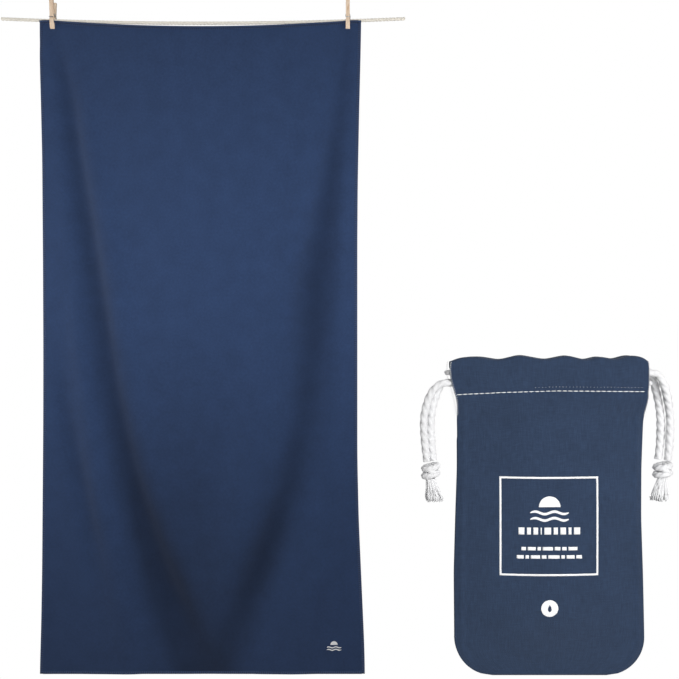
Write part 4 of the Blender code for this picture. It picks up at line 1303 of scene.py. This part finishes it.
class TOWEL_OT_drawstrings(bpy.types.Operator):
    """Add the two drawstrings: their runs in the channel, strands, knots and frayed ends"""

    bl_idname = "towel.drawstrings"
    bl_label = "Drawstrings"

    def execute(self, context):
        look = context.scene.towel_cord
        material = spun_cotton("spun_cotton_white", look.colour, 0.9 * MM)
        for label, seed in (("left", 11), ("right", 23)):
            body = f"drawstring_{label}"
            x, z = KNOTS[label]
            knot = add_piece(
                f"{body}_overhand_knot", knot_shape(in_pouch((x, 0, z))), material,
                body, [f"{body}_knot"],
            )
            top = in_pouch((x, 0, z - KNOT_HALF_HEIGHT - 0.4))
            tassel = add_piece(
                f"{body}_frayed_ends", tassel_shape(top, TASSEL_LEANS[label], seed), material,
                body, [f"{body}_tassel"],
            )
            for layer in ("front", "back"):
                self.add_cord(context, label, layer, material, [knot, tassel])
            route = turn_route(label)
            run = path_length(route)
            radii = laid_radii(run, RUN_DIAMETER / 2, 24, look.lay, depth=CORD_HOLLOWS)
            turn = sweep_shape(tube_rings(route, radii, (0, 0, 1)), run, np.pi * RUN_DIAMETER)
            add_piece(f"{body}_far_bend", turn, material, "pouch", [f"{body}_far_turn"])
        return {"FINISHED"}

    def add_cord(self, context, label, layer, material, ends):
        """One route as two pieces that meet inside the channel, so that nothing shows there."""
        look = context.scene.towel_cord
        body = f"drawstring_{label}"
        route = cord_route(label, layer)
        run = path_length(route)
        across = np.abs(route[:, 0] - POUCH_PLACE[0])
        outside = ease((across - 80 * MM) / (10 * MM)) * (run > 0.1)
        radius = (RUN_DIAMETER + (look.diameter - RUN_DIAMETER) * outside) / 2
        phase = 0.8 if layer == "front" else 2.1
        swell = 1.03 + 0.05 * np.sin(run / 0.0062 + phase) + 0.03 * np.sin(run / 0.0151)
        radii = laid_radii(run, radius * swell, 24, look.lay, phase=phase, depth=CORD_HOLLOWS)
        rings = tube_rings(route, radii, (0, 1, 0.15))
        split = int(np.searchsorted(run, CORD_SPLIT))
        girth = np.pi * look.diameter
        inside = sweep_shape(rings[: split + 1], run[: split + 1], girth)
        add_piece(
            f"{body}_{layer}_channel_cord", inside, material, body,
            [f"{body}_{layer}_run"],
        )
        strand = sweep_shape(rings[split:], run[split:], girth)
        cord = add_piece(
            f"{body}_{layer}_cord", strand, material, body, [f"{body}_{layer}_strand"]
        )


class TOWEL_OT_towel(bpy.types.Operator):
    """Add the towel's cloth, its overlocked edges, its embroidery and its care label"""

    bl_idname = "towel.towel"
    bl_label = "Towel"

    def execute(self, context):
        look = context.scene.towel_cloth
        grid, across, down = towel_grid(322, 141)
        shape = cloth_shape(grid, look.thickness, across, down)
        cloth = add_piece(
            "towel_cloth", shape, microfibre_suede(look.colour), "towel", ["towel_sheet"]
        )
        self.add_painted_shade_map(cloth)
        thread = overlock_thread("overlock_thread_navy", look.hem_colour, 2.6 * MM)
        edges = {
            "left": side_hem_shape(-1), "right": side_hem_shape(1),
            "top": end_hem_shape(True), "bottom": end_hem_shape(False),
        }
        parts = [
            add_piece(
                f"towel_binding_{side}", edge, thread, "towel",
                [f"towel_overlock_{side}"],
            )
            for side, edge in edges.items()
        ]
        parts += self.add_embroidery(look)
        return {"FINISHED"}

    def add_painted_shade_map(self, cloth):
        """Adds coordinates that say how deep in a fold each corner of the cloth's face lies: the UV map
        that places the painted shade in the hollows.
        """
        mesh = cloth.data
        points = np.empty(len(mesh.vertices) * 3, np.float32)
        normals = np.empty(len(mesh.vertices) * 3, np.float32)
        corners = np.empty(len(mesh.loops), np.int32)
        mesh.vertices.foreach_get("co", points)
        mesh.vertices.foreach_get("normal", normals)
        mesh.loops.foreach_get("vertex_index", corners)
        points = points.reshape(-1, 3).astype(float)
        # Only the cloth's front faces get the painted shade.
        facing = normals.reshape(-1, 3)[:, 1] < 0
        share = towel_hollows(points[:, 0], points[:, 2]) * facing
        places = np.stack([share, 0 * share], 1)[corners].astype(np.float32)
        mesh.uv_layers.new(name="nap").data.foreach_set("uv", places.ravel())
        mesh.uv_layers.active_index = 0

    def add_embroidery(self, look):
        """The sun over two waves in the corner, and the label on the back."""
        satin = satin_embroidery(look.stitch_colour)
        x0, z0 = EMBLEM_PLACE
        x, z = half_disc_places(9 * MM, z0 + 2 * MM)
        sun = patch_shape(x + x0, z, on_towel, *STITCHED)
        pieces = [add_piece("towel_stitched_sun", sun, satin, "towel", ["towel_emblem_sun"])]
        for label, below in (("upper", 4), ("lower", 10)):
            x, z = wave_places(18 * MM, 2.6 * MM, 1.2 * MM, z0 - below * MM)
            wave = patch_shape(x + x0, z, on_towel, *STITCHED)
            pieces.append(
                add_piece(
                    f"towel_stitched_wave_{label}", wave, satin, "towel",
                    [f"towel_emblem_wave_{label}"],
                )
            )
        x = np.linspace(-372, -342, 13)[None] * MM
        z = np.linspace(-1592, -1540, 22)[:, None] * MM
        label = patch_shape(x + 0 * z, z + 0 * x, on_towel, *LABEL)
        pieces.append(
            add_piece(
                "towel_sewn_label", label, satin_label(linear("#E4E4E0")), "towel",
                ["towel_care_label"],
            )
        )
        return pieces


class TOWEL_OT_pegs(bpy.types.Operator):
    """Finish the pegs' wooden legs and add their wire springs"""

    bl_idname = "towel.pegs"
    bl_label = "Pegs"

    def execute(self, context):
        look = context.scene.towel_peg
        front = sanded_pine("sanded_pine", look.wood, look.vein)
        back = sanded_pine("sanded_pine_pale", look.pale_wood, look.vein)
        steel = drawn_steel(look.wire)
        for label, x in PEG_X.items():
            for leg, wood in (("front", front), ("back", back)):
                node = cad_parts[f"peg_{label}_{leg}_leg"]
                for slot in node.material_slots:
                    slot.material = wood
            coil = wire_shape(spring_coil(x), (1, 0, 0))
            arm = wire_shape(spring_arm(x, 1), (0, 0.6, 0.8))
            add_piece(
                f"peg_{label}_spring_wire", joined([coil, arm]), steel, "towel",
                [f"peg_{label}_spring_coil"],
            )
            arm = wire_shape(spring_arm(x, -1), (0, -0.6, 0.8))
            add_piece(
                f"peg_{label}_spring_arm", arm, steel, f"peg_{label}_front",
                [f"peg_{label}_spring_front_arm"],
            )
        return {"FINISHED"}


class TOWEL_OT_pouch(bpy.types.Operator):
    """Add the pouch's two cloth panels, its seam and its top stitching"""

    bl_idname = "towel.pouch"
    bl_label = "Pouch"

    def execute(self, context):
        look = context.scene.towel_pouch
        canvas = cotton_canvas(look.colour)
        thread = sewing_thread(look.thread)
        seam = add_piece(
            "pouch_seam_allowance", seam_shape(), canvas, "pouch",
            ["pouch_seam_left", "pouch_seam_right", "pouch_seam_bottom"],
        )
        for label, side in (("front", -1), ("back", 1)):
            grid, across, up = pouch_grid(side)
            panel = add_piece(
                f"pouch_{label}_cloth", cloth_shape(grid, look.thickness, across, up), canvas,
                "pouch", [f"pouch_{label}_panel", f"pouch_channel_{label}"],
            )
            surface = on_pouch(side)
            x = np.linspace(-82.4, 86.2, 300) * MM
            part = x[120:-8]
            length, gap, thin = FAINT_ROW
            rows = (
                row_of_stitches(
                    x, stitch_line_height(x), look.stitch, STITCH_GAP, surface, STITCH_THICKNESS
                ),
                row_of_stitches(
                    part, stitch_line_height(part) + FAINT_RISE, length, gap, surface, thin
                ),
            )
            stitches = add_piece(
                f"pouch_top_stitches_{label}", joined(rows), thread, "pouch",
                [f"pouch_channel_stitch_{label}"],
            )
            edge = add_piece(
                f"pouch_edge_stitches_{label}", self.edge_stitches(surface), thread, "pouch",
            )
        return {"FINISHED"}

    def edge_stitches(self, surface):
        """Whip stitches down the header's two side edges, each slanting over the edge."""
        z = np.arange(229, 276.5, 1.9) * MM
        left, right = pouch_edges(z)
        shapes = []
        for edge, inward in ((left, 1), (right, -1)):
            starts = np.stack([edge - inward * 0.1 * MM, z], 1)
            ends = np.stack([edge + inward * 0.9 * MM, z + 1.5 * MM], 1)
            shapes.append(stitches_shape(starts, ends, surface, 0.42 * MM, sink=0.05 * MM))
        return joined(shapes)


class TOWEL_OT_prints(bpy.types.Operator):
    """Add the printing on the pouch: a square, a sun over waves, plain blocks and a disc"""

    bl_idname = "towel.prints"
    bl_label = "Prints"

    def execute(self, context):
        look = context.scene.towel_pouch
        ink = screen_ink("screen_ink_white", look.ink, look.colour)
        dark = screen_ink("screen_ink_dark", look.dark_ink, look.ink)
        surface = on_pouch(-1)
        shapes = {"frame": pouch_frame_shape(surface)}
        x, z = half_disc_places(9.5 * MM, 149.5 * MM)
        shapes["sun"] = patch_shape(PRINT_MIDDLE_X + x, z, surface, *INK)
        for label, middle in (("upper", 144.5), ("lower", 138.8)):
            x, z = wave_places(17 * MM, 2.3 * MM, 1.1 * MM, middle * MM)
            shapes[f"wave_{label}"] = patch_shape(PRINT_MIDDLE_X + x, z, surface, *INK)
        for label, (half, low, high, widths, gap) in PRINTED_ROWS.items():
            left, right = PRINT_MIDDLE_X - half * MM, PRINT_MIDDLE_X + half * MM
            shapes[f"bar_{label}"] = dash_row_shape(
                left, right, low * MM, high * MM, widths, gap * MM, surface
            )
        for name, shape in shapes.items():
            add_piece(f"pouch_printed_{name}", shape, ink, "pouch", [f"pouch_print_{name}"])
        x, z = disc_places(PRINT_MIDDLE_X, DISC_Z, DISC_RADIUS)
        disc = patch_shape(x, z, surface, *INK)
        add_piece("pouch_printed_disc", disc, ink, "pouch", ["pouch_size_disc"])
        up = np.linspace(0, 1, 15)[:, None]
        over = np.linspace(-1, 1, 9)[None]
        wide = 2.1 * MM * np.sqrt(np.clip(1.03 - (2.2 * up - 1.1) ** 2, 0.02, 1)) * (1 - 0.6 * up)
        drop = patch_shape(
            PRINT_MIDDLE_X + wide * over, DISC_Z + (6.2 * up - 3.0) * MM + 0 * over, surface,
            *OVER_INK,
        )
        add_piece("pouch_printed_mark", drop, dark, "pouch", ["pouch_size_mark"])
        return {"FINISHED"}


class TOWEL_OT_stage(bpy.types.Operator):
    """Add the paper floor, the soft boxes and the white surroundings"""

    bl_idname = "towel.stage"
    bl_label = "Stage"

    def execute(self, context):
        look = context.scene.towel_stage
        paper = studio_paper(linear("#F7F7F6"))
        floor = add_piece("stage_floor", floor_shape(1.2, -look.floor), paper, None, smooth=False)
        # The floor throws no light back, which would wash out the foot of the towel.
        floor.visible_diffuse = False
        for name, place, aim, size, power in SOFT_BOXES:
            add_area_light(name, place, aim, size, getattr(look, power))
        world = bpy.data.worlds.new("white_surroundings")
        world.use_nodes = True
        tree = world.node_tree
        tree.nodes.clear()
        seen = add_node(tree, "ShaderNodeBackground", {"Color": (1, 1, 1, 1), "Strength": 1.0})
        lit = add_node(tree, "ShaderNodeBackground", {"Color": (1, 1, 1, 1), "Strength": look.ambient})
        rays = add_node(tree, "ShaderNodeLightPath")
        mix = add_node(
            tree,
            "ShaderNodeMixShader",
            {0: rays.outputs["Is Camera Ray"], 1: lit.outputs["Background"], 2: seen.outputs["Background"]},
        )
        add_node(tree, "ShaderNodeOutputWorld", {"Surface": mix.outputs["Shader"]})
        context.scene.world = world
        context.scene.view_settings.view_transform = "Standard"
        return {"FINISHED"}


OPERATORS = (
    TOWEL_OT_camera, TOWEL_OT_line, TOWEL_OT_drawstrings, TOWEL_OT_towel, TOWEL_OT_pegs,
    TOWEL_OT_pouch, TOWEL_OT_prints, TOWEL_OT_stage,
)
SETTINGS = {
    "towel_line": TowelLineSettings, "towel_cloth": TowelClothSettings, "towel_peg": TowelPegSettings,
    "towel_pouch": TowelPouchSettings, "towel_cord": TowelCordSettings, "towel_stage": TowelStageSettings,
}


class TOWEL_PT_pieces(bpy.types.Panel):
    """Lists the pieces in the order in which they are added"""

    bl_idname = "TOWEL_PT_pieces"
    bl_label = "Towel"
    bl_space_type = "VIEW_3D"
    bl_region_type = "UI"
    bl_category = "Towel"

    def draw(self, context):
        for operator in OPERATORS:
            self.layout.operator(operator.bl_idname)
        for name, group in SETTINGS.items():
            box = self.layout.box()
            for setting in group.__annotations__:
                box.prop(getattr(context.scene, name), setting)


def register():
    for name, group in SETTINGS.items():
        bpy.utils.register_class(group)
        setattr(bpy.types.Scene, name, PointerProperty(type=group))
    for operator in OPERATORS:
        bpy.utils.register_class(operator)
    bpy.utils.register_class(TOWEL_PT_pieces)


def unregister():
    bpy.utils.unregister_class(TOWEL_PT_pieces)
    for operator in reversed(OPERATORS):
        bpy.utils.unregister_class(operator)
    for name, group in SETTINGS.items():
        delattr(bpy.types.Scene, name)
        bpy.utils.unregister_class(group)


def main():
    register()
    bpy.ops.towel.camera()
    bpy.ops.towel.line()
    bpy.ops.towel.drawstrings()
    bpy.ops.towel.towel()
    bpy.ops.towel.pegs()
    bpy.ops.towel.pouch()
    bpy.ops.towel.prints()
    bpy.ops.towel.stage()


if __name__ == "__main__":
    main()
